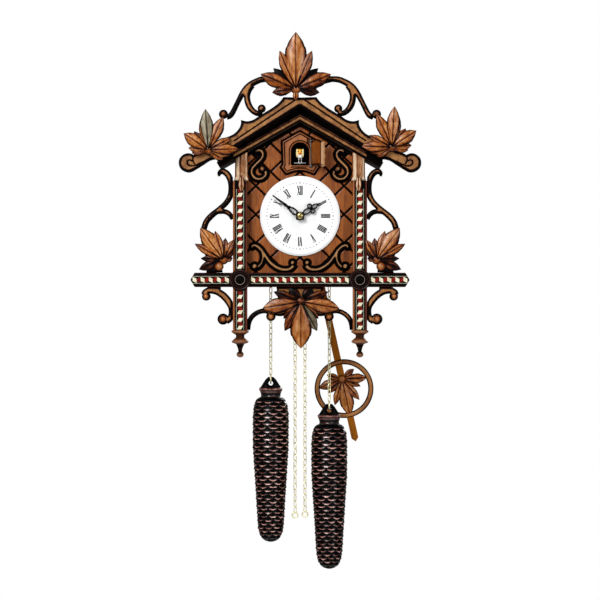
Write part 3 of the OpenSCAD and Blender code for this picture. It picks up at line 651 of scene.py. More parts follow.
for name in ["case_side_left", "case_side_right", "case_bottom", "back_rail"]:
    refine(name, side_wood)
for name in ["roof_left", "roof_right"]:
    refine(name, roof_wood, 0.7)
for name in ["post_left", "post_right"]:
    refine(name, ebony, 1.8, (1.0, 0.68), 20)
refine("cross_beam", ebony, 0.8, (0.5, 0.45))
for name in ["back_door", "bellows_top_left", "bellows_top_right"]:
    refine(name, plain_wood, 0.3)
refine("pendulum_rod", rod_wood, 0.5)
dress("whistle_boxes", plain_wood)
dress("dial", white)
dress("inlay_strips", green)
for name in ["front_plate", "back_plate", "centre_arbor", "minute_wheel", "third_arbor", "escape_arbor",
             "going_great_wheel", "strike_great_wheel", "cam_arbor", "fly", "going_sprocket", "strike_sprocket"]:
    dress(name, brass)
for name in ["gong", "gong_hammer", "verge"]:
    dress(name, steel)


def finials():
    """Turned drops at the foot of the posts."""
    shells = Shells()
    profile = [(0, 0), (2.6, 0.8), (4.1, 3.3), (3.2, 5.4), (1.8, 6.8), (2.4, 9.8), (3.4, 13.2), (4.7, 15), (8.4, 16.2),
               (9.3, 17.8), (7.2, 20), (4.5, 22.3), (4.5, 24.8), (6.8, 26.2), (9.3, 27.8), (9.3, 29.8), (0, 29.8)]
    for cad_node in ("post_left", "post_right"):
        low, high = box_mm(cad_node)
        centre = ((low[0] + high[0]) / 2, (low[1] + high[1]) / 2, low[2])
        lathe(shells, [(r + 0.15 if r else 0, h - 0.1, (0.85 if h < 5 else 0.15 + 0.85 * (r / 9.3) ** 2)) for r, h in profile], centre, "z", 40)
    make("finial_turnings", shells, turned_wood)


finials()


# ---- leaves ----

ACROSS = [-1, -0.93, -0.82, -0.65, -0.48, -0.3, -0.16, -0.07, 0, 0.07, 0.16, 0.3, 0.48, 0.65, 0.82, 0.93, 1]
LOBE_ROWS = 36
TEETH = 4
TOOTH_SHARE = 0.08


def lobe_half(u, width):
    """Half the width of a lobe at the fraction u of its length."""
    return width / 2 * math.sin(math.pi * u ** 1.3) + 0.02


def lobe(shells, hub, angle, length, width, crest, back, order, burn):
    """One lobe of a carved leaf: crowned, with a midrib, side veins, a drooping tip and burnt edges, with painted shade
    on its lower right side and at the root of each lower lobe.
    """
    a = math.radians(angle)
    out = Vector((math.sin(a), math.cos(a)))
    side = Vector((out.y, -out.x))
    crown = 0.11 * width + 0.5
    streak = [random.uniform(0.72, 1.0) for _ in ACROSS]
    verts, wear_and_painted_light = [], []
    for i in range(LOBE_ROWS + 1):
        u = i / LOBE_ROWS
        tooth = (1 - (u * TEETH) % 1) * float(smooth(u, 0.2, 0.34)) * float(smooth(-u, -0.86, -0.72))
        half = lobe_half(u, width) * (1 - TOOTH_SHARE * tooth)
        for v, grain in zip(ACROSS, streak):
            across = abs(v) * half
            vein = math.exp(-(((u * 2.6 - 0.9 * abs(v)) % 1 - 0.5) / 0.1) ** 2) * smooth(abs(v), 0.05, 0.3)
            rib = math.exp(-(across / (0.65 + 1.5 * burn)) ** 2) * (1 - 0.4 * u)
            deep = crown * v * v * half / (width / 2) + 3.2 * u ** 2.5 + 1.8 * (1 - u) ** 3
            deep += 0.8 * rib + 0.3 * vein * (1 - u)
            deep = min(deep, back - crest - 1.2)
            at = Vector(hub) + length * u * out + half * v * side
            verts.append((at.x, crest + deep, at.y))
            tone = 1 - 0.95 * smooth(abs(v), 0.72, 0.97)
            tone *= 1 - 0.95 * rib
            # painted shade: the side of the lobe turned from the light at the upper left is darker
            tone *= 1 - 0.5 * smooth(v * (side.x - side.y) / 1.41, 0.3, 0.8)
            tone *= (1 - (0.3 + 0.6 * burn) * vein) * grain
            # burn darkens the whole lobe; painted shade darkens the lower lobes at the root, under the upper ones
            tone *= (1 - burn) * (1.0 if order == 0 else 0.6 + 0.4 * float(smooth(u, 0.05, 0.3)))
            wear_and_painted_light.append(tone)
    n = len(ACROSS)
    faces = [(i * n + k, i * n + k + 1, (i + 1) * n + k + 1, (i + 1) * n + k)
             for i in range(LOBE_ROWS) for k in range(n - 1)]
    base = len(verts)
    for i in range(LOBE_ROWS + 1):
        for k in (0, n - 1):
            x, _, z = verts[i * n + k]
            verts.append((x, back, z))
            wear_and_painted_light.append(0.6)
    for i in range(LOBE_ROWS):
        low, high = base + 2 * i, base + 2 * i + 2
        faces.append((low, high, high + 1, low + 1))
        faces.append((i * n, (i + 1) * n, high, low))
        faces.append(((i + 1) * n - 1, low + 1, high + 1, (i + 2) * n - 1))
    faces.append(tuple(range(n)) + (base + 1, base))
    last = LOBE_ROWS * n
    faces.append(tuple(range(last + n - 1, last - 1, -1)) + (base + 2 * LOBE_ROWS, base + 2 * LOBE_ROWS + 1))
    shells.add(verts, faces, wear_and_painted_light)


def spread(lobes):
    """Lowest and highest corner of a leaf whose hub is at zero."""
    points = []
    for angle, length, width, _ in lobes:
        a = math.radians(angle)
        for i in range(41):
            u = i / 40
            for s in (-1, 1):
                half = s * lobe_half(u, width)
                points.append((length * u * math.sin(a) + half * math.cos(a),
                               length * u * math.cos(a) - half * math.sin(a)))
    return np.min(points, 0), np.max(points, 0)


def leaf(cad_node, lobes, side=1, level="high", sheen_lobe=None):
    """A carved leaf whose lobes fill the outline of its CAD node. Lobes are (angle, length, width, burn), top one
    first.

    The lobe with the number sheen_lobe is a piece of its own in grey wood, which paints a grey sheen on it."""
    lobes = [(side * b[0], *b[1:]) for b in lobes]
    low, high = box_mm(cad_node)
    least, most = spread(lobes)
    hub_x = low[0] - least[0] if side > 0 else high[0] - most[0]
    hub_z = high[2] - most[1] if level == "high" else low[2] - least[1]
    shells = Shells()
    for order, (angle, length, width, burn) in enumerate(lobes):
        step = min(order, 7) * 0.55
        piece = Shells() if order == sheen_lobe else shells
        lobe(piece, (hub_x, hub_z), angle, length, width, low[1] + step, high[1], order, burn)
        if order == sheen_lobe:
            make(cad_node + "_grey_lobe", piece, grey_wood)
    full = high[1] - low[1]
    lathe(shells, [(0, 0, 0), (5.4, 0, 0), (5.4, full - 6, 0.1), (4.2, full - 4.8, 0.4), (0, full - 3.4, 0.7)],
          (hub_x, high[1], hub_z), "y", 32)
    return shells, (hub_x, hub_z)


def maple(length, fan=1.0):
    """A symmetrical leaf with nine lobes."""
    pattern = [(23, 0.73, 0.22, 0.1), (67, 0.67, 0.27, 0.28), (98, 0.42, 0.18, 0.35), (47, 0.54, 0.18, 0.85)]
    lobes = [(0, length, 0.4 * length, 0.0)]
    for angle, share, width, burn in pattern:
        dark = 0.3 if angle == 98 else 0.0
        lobes += [(s * angle * fan, share * length, width * length, burn + dark * (s > 0)) for s in (-1, 1)]
    return lobes


CORNER_LEAF = [(-4, 45, 15, 0.0), (-56, 32.5, 15, 0.05), (88, 33, 13, 0.1), (24, 40, 14, 0.1), (62, 28, 10, 0.15),
               (-14, 35, 10, 0.1), (-37, 26, 9, 0.3), (-84, 22, 10, 0.15), (104, 24, 10, 0.1), (124, 19, 9, 0.15),
               (-100, 18.5, 9, 0.2)]
SIDE_LEAF = [(-36, 43, 18, 0.0), (-16, 33, 10, 0.1), (-61, 36, 10, 0.15), (6, 24, 9, 0.2), (28, 25, 9, 0.15),
             (-87, 25, 8, 0.5), (45, 15.5, 9, 0.5), (80, 10.5, 8, 0.3), (-112, 29, 11, 0.55), (-128, 22, 9, 0.7)]
BOTTOM_LEAF = [(180, 51.5, 25, 0.0), (100, 43, 18, 0.1), (260, 43, 18, 0.1), (151, 37, 13, 0.25), (209, 37, 13, 0.3),
               (134, 27, 11, 0.3), (226, 27, 11, 0.35), (70, 32, 11, 0.45), (290, 32, 11, 0.5), (40, 20, 12, 0.7),
               (320, 20, 12, 0.75)]


def berry(shells, x, y, z, r):
    """A small round boss, dark at its foot and light on its crown, partly wear and partly painted highlight."""
    steps = 8
    profile = [(r * math.cos(math.pi / 2 * k / steps), r * 0.8 * math.sin(math.pi / 2 * k / steps), 0.15 + 0.8 * k / steps)
               for k in range(steps)]
    lathe(shells, [(0, -1.5, 0), (r, -1.5, 0)] + profile + [(0, r * 0.8, 1)], (x, y, z), "y", 24)


def cut_flat(obj, height, keep_above):
    """Cuts a carved piece off flat at a height."""
    bm = bmesh.new()
    bm.from_mesh(obj.data)
    cut = bmesh.ops.bisect_plane(bm, geom=bm.verts[:] + bm.edges[:] + bm.faces[:], plane_co=(0, 0, height * MM),
                                 plane_no=(0, 0, 1), clear_inner=keep_above, clear_outer=not keep_above)
    edges = [e for e in cut["geom_cut"] if isinstance(e, bmesh.types.BMEdge)]
    bmesh.ops.holes_fill(bm, edges=edges, sides=0)
    bmesh.ops.delete(bm, geom=[v for v in bm.verts if not v.link_faces], context="VERTS")
    bmesh.ops.recalc_face_normals(bm, faces=bm.faces)
    bm.to_mesh(obj.data)
    bm.free()


shells, hub = leaf("top_leaf", maple(62.5) + [(180, 12, 7, 0.0)])
make("top_leaf_carving", shells, leafy, stands_for=["top_leaf"])
for name, side in (("roof_leaf_left", 1), ("roof_leaf_right", -1)):
    shells, hub = leaf(name, CORNER_LEAF, side, sheen_lobe=0 if side > 0 else None)
    make(name + "_carving", shells, leafy, stands_for=[name])
for name, side in (("side_leaf_left", 1), ("side_leaf_right", -1)):
    shells, hub = leaf(name, SIDE_LEAF, side)
    berry(shells, hub[0] - 4.5 * side, box_mm(name)[0][1] + 4, hub[1] - 7.5, 5)
    cut_flat(make(name + "_carving", shells, leafy, stands_for=[name]), box_mm(name)[0][2], True)
shells, hub = leaf("bottom_leaf", BOTTOM_LEAF, level="low", sheen_lobe=3)
cut_flat(make("bottom_leaf_carving", shells, leafy, stands_for=["bottom_leaf"]), box_mm("bottom_leaf")[1][2], False)


# ---- scrolls, gable and brackets ----

panel_front = box_mm("front_panel")[0][1]
band = rounded(2.4, 2.3, (1.4, 2.5))


def carve_node(name, shape, **options):
    """A relief over the outline of a whole CAD node."""
    shells = Shells()
    rear = box_mm(name)[1][1]
    for depth, loops in outlines(name).items():
        relief(shells, loops, depth, rear if depth < rear else depth + 2, shape, shade=1.2, **options)
    make(name + "_carving", shells, carved, stands_for=[name])


for name in ("top_scroll_left", "top_scroll_right", "side_scroll_left", "side_scroll_right"):
    carve_node(name, band)
balls = Shells()
for s in (-1, 1):
    berry(balls, s * 84.2, box_mm("top_scroll_left")[0][1] + 1.2, 19.2, 3.1)
make("top_scroll_balls", balls, carved)


def slope_of_roof():
    """Drop of the roof for each millimetre away from the middle."""
    low, high = box_mm("roof_right")
    right = points_mm("roof_right")
    outer = right[right[:, 0] > high[0] - 0.1]
    return (high[2] - outer[:, 2].max()) / (high[0] - low[0])


slope = slope_of_roof()


def gable():
    """The gable board with its engraved line, and the stepped moulding below it, dark at its top as a painted shadow
    under the board, partly dark stain.
    """
    shells = Shells()
    planes = outlines("gable_fascia")
    front = min(planes)
    curl = [(94, -28), (104, -32.5), (112, -36.3), (117, -38), (121, -37.8), (123.6, -35.5), (123.3, -32.6),
            (120.6, -31.2), (118.4, -32.6)]
    web = [(115, -24.5), (117.3, -28), (117.6, -31.5), (115.8, -35.5)]
    lines = []
    for s in (-1, 1):
        lines.append(((s * 5.6, 34), (s * 72, -10.5)))
        lines += [((s * a[0], a[1]), (s * b[0], b[1])) for path in (curl, web) for a, b in zip(path, path[1:])]
    extra = np.vstack([line_points(a, b, (-1, -0.5, 0, 0.5, 1), 1.2) for a, b in lines])
    shape = engraved(rounded(2.2, 2.2, (2.1, 3.2)), lines, 1.1, 0.9)
    relief(shells, planes[front], front, front + 12, shape, extra=extra, rings=(0.5, 1.1, 1.8, 2.6), shade=0.4)
    step = front + 12
    # (height above the middle of the roof underside, depth, wear and painted shade) down the moulding; the dark top
    # rows are a painted shadow under the gable board
    profile = [(31, step + 9, 0), (31, step + 6, 0), (20.2, step + 6, 0), (19.4, step + 3.2, 0.1),
               (19.0, step + 2.8, 0.5), (18.2, step + 2.6, 0.62), (17.4, step + 2.8, 0.5), (17.2, step + 2.4, 0.1),
               (16.9, step + 0.8, 0.3), (16.2, step + 0.1, 0.9), (15.0, step, 1), (13.8, step + 0.2, 0.95),
               (13.1, step + 0.9, 0.3), (12.8, step + 1.6, 0.0), (12.8, step + 9, 0)]
    reach_x = 73
    stations = np.linspace(-reach_x, reach_x, 81)
    verts = [(x, y, t - slope * abs(x)) for x in stations for t, y, _ in profile]
    n = len(profile)
    faces = [(i * n + k, i * n + (k + 1) % n, (i + 1) * n + (k + 1) % n, (i + 1) * n + k)
             for i in range(len(stations) - 1) for k in range(n)]
    faces += [tuple(range(n))[::-1], tuple((len(stations) - 1) * n + k for k in range(n))]
    shells.add(verts, faces, [p[2] for _ in stations for p in profile])
    # dark plates at both ends: painted shade under the eaves beyond the moulding
    for s in (-1, 1):
        outer = [(72, 23), (91, 23), (91, 19.5), (88.5, 12.8), (72, 12.8)]
        spots = [(s * x, t - slope * x) for x, t in outer]
        plate(shells, spots, step + 0.3, step + 11, 0.0)
    make("gable_carving", shells, gable_wood, stands_for=["gable_fascia"])


gable()


def brackets():
    """The carved brackets below the beam, with a ball in each eye whose crown is light with wear and painted highlight.
    """
    shells = Shells()
    low, high = box_mm("lower_scrolls")
    for depth, loops in outlines("lower_scrolls").items():
        relief(shells, loops, depth, depth + 10, band, shade=0.7)
    make("bracket_carving", shells, carved, stands_for=["lower_scrolls"])
    balls = Shells()
    for s in (-1, 1):
        for x, z, r, y in ((103.2, -181, 3.1, low[1]), (84.6, -205.8, 3.9, low[1]), (32, -203, 3.6, panel_front - 10)):
            berry(balls, s * x, y + 0.6, z, r)
    make("bracket_balls", balls, leafy)


brackets()


def pilasters():
    """Fluted capitals above the posts, light in strips from wear and from painted highlights almost white, each ending
    in a pointed tongue.
    """
    # how light the strips are, painted highlights included, by distance to the right of the middle
    strips = [-7.3, -5.9, -5.2, -2.6, -1.8, -0.6, 0.4, 4.0, 4.8, 5.8, 6.4, 7.3]
    tones = [0.35, 0.5, 1.0, 0.92, 0.4, 0.55, 0.7, 0.62, 0.95, 0.9, 0.4, 0.3]
    shells = Shells()
    low, high = box_mm("pilasters")
    centre = high[0] - 1.2 - 7.2
    front = low[1]
    post_face = box_mm("post_left")[0][1]

    def shape(d, x, z):
        across = x - np.sign(x) * centre
        flute = 0.5 + 0.5 * np.cos(2 * np.pi * across / 3.6)
        flare = smooth(-z, -low[2] - 5.5, -low[2])
        deep = 1.3 * (1 - flute) * (1 - flare) + 1.5 * (1 - smooth(d, 0, 1.6)) + 2.2 * np.abs(across / 7.2) ** 2
        streak = np.sin(across * 2.9 + np.sin(z * 0.9)) * np.sin(z * 0.37 + across)
        wear_and_painted_light = smooth(d, 0.0, 0.5) * (np.interp(across, strips, tones) + 0.12 * streak)
        # painted highlight: the flared foot goes almost white towards its outer tips
        return deep, np.clip(wear_and_painted_light + flare * smooth(np.abs(across), 3.6, 5.5) * smooth(d, 0.2, 0.8), 0, 1)
    for depth, loops in outlines("pilasters").items():
        relief(shells, loops, front, high[1], shape, grid=0.9)
    for s in (-1, 1):
        lobe(shells, (s * centre, low[2] + 7), 180, 19.5, 7.5, post_face - 4.6, post_face + 2, 0, 0.0)
    make("pilaster_carving", shells, highlit_carving, stands_for=["pilasters"])


# the near-white top stop paints highlights into the colour
highlit_carving = wood("highlit_carving", [(0.15, *BURNT_AND_SHADED), (0.4, 0.12, 0.030, 0.010), (0.65, 0.42, 0.175, 0.060),
                                       (1.0, 1.0, 0.80, 0.56)], contrast=0.45, rough=(0.2, 0.4), coat=0.4)
pilasters()


def fretwork():
    """Thin scrolls laid on the panel."""
    shells = Shells()
    for depth, loops in outlines("panel_fretwork").items():
        relief(shells, loops, depth, panel_front, rounded(1.3, 1.7, (0.5, 1.4)), grid=0.8, rings=(0.35, 0.8, 1.3),
               shade=0.5)
    low, _ = box_mm("panel_fretwork")
    for s in (-1, 1):
        berry(shells, s * 41.8, low[1] + 0.3, -40.4, 2.4)
    make("fretwork_carving", shells, fret_wood, stands_for=["panel_fretwork"])


fret_wood = wood("fret_wood", [(0.2, *BURNT_AND_SHADED), (0.5, 0.09, 0.03, 0.01), (0.75, 0.28, 0.12, 0.035),
                               (1.0, 0.40, 0.20, 0.07)], contrast=0.5)
fretwork()


# ---- panel ----

DIAMOND_X = 32.45
DIAMOND_Z = 31.46
DIAMOND_MID = -43.6


def panel():
    """The front panel: diamonds between V grooves, and a dark sunk ground round the frets and under the roof."""
    shells = Shells()
    steep = math.hypot(1 / DIAMOND_X, 1 / DIAMOND_Z)
    fret = [loop for loops in outlines("panel_fretwork").values() for loop in loops]
    fret_ends = ends(fret)
    house = max(outlines("door_surround").items(), key=lambda item: len(item[1][0]) + 100 * (item[0] < panel_front - 4))
    house_ends = ends(house[1])
    peak = box_mm("front_panel")[1][2]
    extra = []
    for k in range(-8, 8):
        for s in (-1, 1):
            a = (-90, DIAMOND_MID + s * DIAMOND_Z * (k + 90 / DIAMOND_X))
            b = (90, DIAMOND_MID + s * DIAMOND_Z * (k - 90 / DIAMOND_X))
            extra.append(line_points(a, b, (-1.5, -0.9, 0, 0.9, 1.5), 1.6))
    rim, following = rim_points(fret, 1.0)
    extra += [beside(rim, following, -gap) for gap in (0.6, 1.5, 2.1, 2.6)]
    rim, following = rim_points(house[1], 1.0)
    extra += [beside(rim, following, -gap) for gap in (0.5, 1.1, 1.6)]
    extra = np.vstack(extra)

    def shape(d, x, z):
        u = x / DIAMOND_X + (z - DIAMOND_MID) / DIAMOND_Z
        v = x / DIAMOND_X - (z - DIAMOND_MID) / DIAMOND_Z
        near = np.minimum(np.abs(u - np.round(u)), np.abs(v - np.round(v))) / steep
        flat = np.column_stack([x, z])
        to_fret = np.where(inside(flat, *fret_ends), 0, distance(flat, *fret_ends))
        to_house = distance(flat, *house_ends)
        under_roof = peak - (z + slope * np.abs(x))
        deep = 1.5 * (1 - smooth(near, 0, 1.2))
        deep = np.maximum(deep, 1.6 * (1 - smooth(to_fret, 1.7, 2.5)))
        deep = np.maximum(deep, 1.2 * (1 - smooth(to_house, 0.7, 1.5)))
        deep = np.maximum(deep, 1.2 * (1 - smooth(under_roof, 4.2, 5.2)))
        wear_and_painted_light = smooth(near, 0.75, 1.45) * smooth(to_fret, 1.8, 2.6) * smooth(to_house, 0.8, 1.6)
        wear_and_painted_light = wear_and_painted_light * smooth(under_roof, 4.4, 5.2)
        return deep, wear_and_painted_light
    for depth, loops in outlines("front_panel").items():
        relief(shells, loops, depth, box_mm("front_panel")[1][1], shape, grid=1.5, rings=(0.6,), extra=extra)
    make("panel_carving", shells, panel_wood, stands_for=["front_panel"])


panel()


# ---- door surround, door and bird ----

def surround():
    """The little house front round the bird's opening, with a sunk border line and two hinge knuckles."""
    shells = Shells()
    planes = outlines("door_surround")
    front = min(y for y, loops in planes.items() if max(len(loop) for loop in loops) > 8)
    opening = min(planes[front], key=lambda loop: max(p[0] for p in loop) - min(p[0] for p in loop))
    opening_ends = ends([opening])

    def shape(d, x, z):
        to_hole = distance(np.column_stack([x, z]), *opening_ends)
        outer = np.where(to_hole - d < 0.05, 9, d)
        line = 1 - smooth(np.abs(outer - 2.6), 0.3, 0.8)
        deep = 1.6 * (1 - smooth(outer, 0, 1.4)) + 0.7 * line + 0.5 * (1 - smooth(to_hole, 0, 0.7))
        wear_and_painted_light = smooth(outer, 0.5, 1.4) * (1 - 0.95 * line) * smooth(to_hole, 0.1, 0.8)
        return deep, wear_and_painted_light
    relief(shells, planes[front], front, panel_front, shape, grid=0.9, rings=(0.5, 1.1, 1.8, 2.3, 2.9, 3.4))
    make("surround_carving", shells, house_wood, stands_for=["door_surround"])
    pins = Shells()
    hinge = pivot_mm("door_swing")
    low, high = box_mm("bird_door")
    for z in (low[2], low[2] + 28.2):
        lathe(pins, [(0, 0), (1.7, 0), (1.8, 0.3), (1.8, 1.5), (1.7, 1.8), (0, 1.8)], (hinge[0], hinge[1], z), "z", 20)
    make("hinge_knuckles", pins, dull_steel)


house_wood = wood("house_wood", [(0.2, *BURNT_AND_SHADED), (0.5, 0.10, 0.02, 0.005), (0.8, 0.29, 0.085, 0.018),
                                 (1.0, 0.36, 0.125, 0.036)], contrast=0.7, broken=0.2)
surround()


def bird_door():
    """The open door: rubbed inner face, pale cut edge, a round pull and the hinge pin."""
    hinge = pivot_mm("door_swing")
    low, high = box_mm("bird_door")
    sill, top, peak = low[2] + 2.3, low[2] + 27.3, low[2] + 30.8
    width, thick = 21.6, 2.6
    opened = math.radians(122)
    turn = Matrix.Translation(Vector(hinge[:2] + [0]) * MM) @ Matrix.Rotation(opened, 4, "Z")
    outline = [(0.4, sill), (0.4, top), (-width / 2, peak), (-width, top), (-width, sill)]
    inner, outer = Shells(), Shells()

    def carved_side(d, x, z):
        wave = 0.5 + 0.5 * np.cos((z - sill) / 3.6)
        return 0.9 * (1 - smooth(d, 0, 1.5)) + 0.5 * wave, smooth(d, 0.2, 1.2)

    def inner_side(d, x, z):
        ring = np.abs(np.hypot(x + width / 2, z - (sill + top) / 2) - 4)
        line = 1 - smooth(ring, 0.4, 1.0)
        return 0.4 * line + 0.5 * (1 - smooth(d, 0, 0.8)), smooth(d, 0.3, 1.4) * (1 - 0.9 * line)
    foot = sill - 2
    wave = [(-width - 0.9 * math.sin(2.2 * k / 3) ** 2, foot + (top - foot) * k / 16) for k in range(17)]
    front = [(4 - width, foot), (4 - width, sill), (-6, sill), (-6, top), (-width / 2, peak - 1)] + wave[::-1]
    relief(outer, [front[::-1] if area(front) < 0 else front], -5.8, -thick + 0.1, carved_side, grid=0.9)
    relief(inner, [[(-x, z) for x, z in outline]], 0, thick, inner_side, grid=0.9)
    inner.verts = [(-x, -y, z) for x, y, z in inner.verts]
    make("bird_door_front", outer, door_edge, "cuckoo_door", matrix=turn)
    make("bird_door_leaf", inner, panel_wood, "cuckoo_door", ["bird_door"], matrix=turn)
    edge, fittings = Shells(), Shells()
    plate(edge, [(-width - 0.15, sill + 0.3), (-width + 0.5, sill + 0.3), (-width + 0.5, top - 0.3),
                 (-width - 0.15, top - 0.3)], -thick, -0.15)
    make("bird_door_edge", edge, door_edge, "cuckoo_door", matrix=turn)
    lathe(fittings, [(0, 0), (0.45, 0), (0.45, high[2] - low[2] - 3), (0, high[2] - low[2] - 3)],
          (0, 0, low[2]), "z", 16)
    path = [(-2, 0.6, sill + 4), (-5, 0.9, sill + 3.2), (-8, 0.8, sill + 4.4), (-9, 0.2, sill + 5)]
    tube(fittings, path, 0.3, (0, 1, 0), sides=8)
    make("bird_door_pin", fittings, dull_steel, "cuckoo_door", matrix=turn)
    pull = Shells()
    ball(pull, (-width + 3.2, -6.6, top - 7), (1.1, 1.3, 1.1), rings=10, sides=18)
    make("bird_door_pull", pull, brass, "cuckoo_door", matrix=turn)


door_edge = wood("door_edge", [(0.0, 0.36, 0.18, 0.08), (0.6, 0.56, 0.31, 0.16), (1.0, 0.62, 0.38, 0.21)], contrast=0.4)
bird_door()


def bird():
    """A small painted bird on its perch: yellow head and wings, white breast, orange beak."""
    low, high = box_mm("bird")
    perch = low[2]
    x, y = (low[0] + high[0]) / 2, low[1] + 7
    body, wings, beak, eyes, stand, chest = Shells(), Shells(), Shells(), Shells(), Shells(), Shells()

    def boxy(a, b, c):
        a, c = math.copysign(abs(a) ** 0.55, a), math.copysign(abs(c) ** 0.6, c)
        return a, b, c - (0.16 * (1 - abs(a)) if c > 0 else 0)
    ball(body, (x, y, perch + 12.2), (2.9, 3.6, 4.7), squeeze=boxy)
    ball(body, (x, y + 5.5, perch + 9.2), (1.8, 5.0, 1.3))
    ball(chest, (x, y - 0.9, perch + 8.4), (2.8, 3.6, 2.4), squeeze=boxy)
    for s in (-1, 1):
        ball(wings, (x + s * 3.1, y + 0.2, perch + 12.0), (1.3, 2.8, 4.9), squeeze=boxy)
        ball(eyes, (x + s * 1.7, y - 3.3, perch + 13.4), (0.65, 0.5, 0.8), rings=8, sides=14)
    lathe(beak, [(0, 0), (1.35, 0.1), (1.1, 1.2), (0.5, 2.4), (0, 3.0)], (x, y - 3.1, perch + 11.0), "y", 18)
    for s in (-1, 1):
        tube(stand, [(x + s * 1.3, y, perch + 6.4), (x + s * 1.4, y - 0.4, perch + 4), (x + s * 1.6, y, perch + 1.2)],
             [0.75, 0.55, 0.6], (1, 0, 0))
    path = [(low[0], y - 1.5, perch + 0.8), (x, y - 2.0, perch + 0.7), (high[0], y - 1.5, perch + 0.8)]
    tube(stand, path, 0.6, (0, 0, 1))
    plate(stand, [(x - 3, perch), (x + 3, perch), (x + 3, perch + 1.4), (x - 3, perch + 1.4)], y - 2, high[1])
    make("bird_body", body, yellow, "cuckoo", ["bird"])
    make("bird_chest", chest, breast, "cuckoo")
    make("bird_wings", wings, pale_yellow, "cuckoo")
    make("bird_eyes", eyes, black, "cuckoo")
    make("bird_beak", beak, orange, "cuckoo")
    make("bird_stand", stand, grey_metal, "cuckoo")


bird()


# ---- marquetry ----

TILE_PITCH = 8.75


def marquetry():
    """Cream and red tiles in a zigzag between two grey lines, along the beam and the posts."""
    front = box_mm("inlay_strips")[0][1]
    post_face = box_mm("post_left")[0][1]
    pale, bright, grey = Shells(), Shells(), Shells()
    low, high = box_mm("inlay_strips")
    beam_z = sum(v for v in (box_mm("cross_beam")[0][2], box_mm("cross_beam")[1][2])) / 2
    post_x = (box_mm("post_right")[0][0] + box_mm("post_right")[1][0]) / 2
    gap = 12.2
    runs = [("beam", beam_z, low[0], -post_x - gap), ("beam", beam_z, gap - post_x, post_x - gap),
            ("beam", beam_z, post_x + gap, high[0])]
    for s in (-1, 1):
        runs += [("post", s * post_x, -high[2], -beam_z - gap), ("post", s * post_x, gap - beam_z, -low[2])]

    def put(shells, kind, centre, corners, lift, ground):
        spots = [(a, centre + b) if kind == "beam" else (centre - b, -a) for a, b in corners]
        plate(shells, spots, ground - lift, ground + 0.05)
    for kind, centre, start, stop in runs:
        half = 3.3
        ground = front
        count = max(1, round((stop - start) / TILE_PITCH * 2))
        pitch = (stop - start) / count
        offset = 0 if kind == "beam" else 1
        for i in range(count):
            a, b = start + i * pitch + 0.12, start + (i + 1) * pitch - 0.12
            high_end, low_end = (half, -0.36 * half), (0.36 * half, -half)
            falling = (i + offset) % 2 == 0
            left, right = (high_end, low_end) if falling else (low_end, high_end)
            if kind == "post":
                left, right = right, left
            corners = [(a, left[1]), (b, right[1]), (b, right[0]), (a, left[0])]
            put(pale if (i + offset) % 2 == 0 else bright, kind, centre, corners, 0.16, ground)
        edge = 3.85 if kind == "beam" else 3.96
        ground = front if kind == "beam" else post_face
        for s in (-1, 1):
            corners = [(start, s * edge - 0.36), (stop, s * edge - 0.36), (stop, s * edge + 0.36), (start, s * edge + 0.36)]
            put(grey, kind, centre, corners, 0.14, ground)
    make("inlay_cream_tiles", pale, cream)
    make("inlay_red_tiles", bright, red)
    make("inlay_stringing", grey, stringing)


marquetry()


def rosettes():
    """Turned bosses where the posts cross the beam, with painted grey highlights on their crest rings."""
    shells = Shells()
    low, high = box_mm("rosettes")
    r = (high[2] - low[2]) / 2
    full = high[1] - low[1]
    # third value: how light each ring is; the light crest rings are painted highlights
    rings = [(0.0, 1.0, 0.1), (0.2, 0.97, 0.05), (0.36, 0.86, 0.05), (0.41, 0.9, 0.3), (0.455, 1.0, 1.0),
             (0.49, 0.9, 0.2), (0.56, 0.72, 0.0), (0.66, 0.7, 0.1), (0.7, 0.82, 0.55), (0.74, 0.72, 0.0),
             (0.82, 0.86, 0.12), (0.87, 0.9, 0.5), (0.93, 0.78, 0.1), (1.0, 0.5, 0.55), (1.0, 0.0, 0.1), (0.0, 0.0, 0)]
    for s in (-1, 1):
        centre = (s * (high[0] - r), high[1], (low[2] + high[2]) / 2)
        lathe(shells, [(share * r, rise * full, wear) for share, rise, wear in rings], centre, "y", 72)
    make("rosette_turnings", shells, rosette_wood, stands_for=["rosettes"])


rosette_wood = wood("rosette_wood", [(0.2, *BURNT_AND_SHADED), (0.5, 0.06, 0.02, 0.014), (1.0, 0.36, 0.34, 0.31)], broken=0.2,
                    rough=(0.25, 0.42), coat=0.4)
rosettes()


# ---- dial and hands ----

NUMERALS = ["XII", "I", "II", "III", "IIII", "V", "VI", "VII", "VIII", "IX", "X", "XI"]
LETTER_WIDTH = {"I": 1.5, "V": 3.0, "X": 3.1}


def numeral_strokes(word, height):
    """Strokes ((x, z) to (x, z), width) of a Roman numeral, centred, with its feet at zero."""
    x = -sum(LETTER_WIDTH[c] for c in word) / 2
    strokes = []
    for c in word:
        w = LETTER_WIDTH[c]
        m = x + w / 2
        if c == "I":
            strokes.append(((m, 0), (m, height), 1.15))
            feet = [m]
            heads = [m]
        elif c == "V":
            strokes.append(((x + 0.5, height), (m, 0), 1.15))
            strokes.append(((x + w - 0.4, height), (m, 0), 0.5))
            feet, heads = [], [x + 0.5, x + w - 0.4]
        else:
            strokes.append(((x + 0.45, height), (x + w - 0.45, 0), 1.15))
            strokes.append(((x + w - 0.4, height), (x + 0.4, 0), 0.5))
            feet = heads = [x + 0.45, x + w - 0.45]
        strokes += [((f - 0.62, 0.1), (f + 0.62, 0.1), 0.4) for f in feet]
        strokes += [((f - 0.62, height - 0.1), (f + 0.62, height - 0.1), 0.4) for f in heads]
        x += w
    return strokes


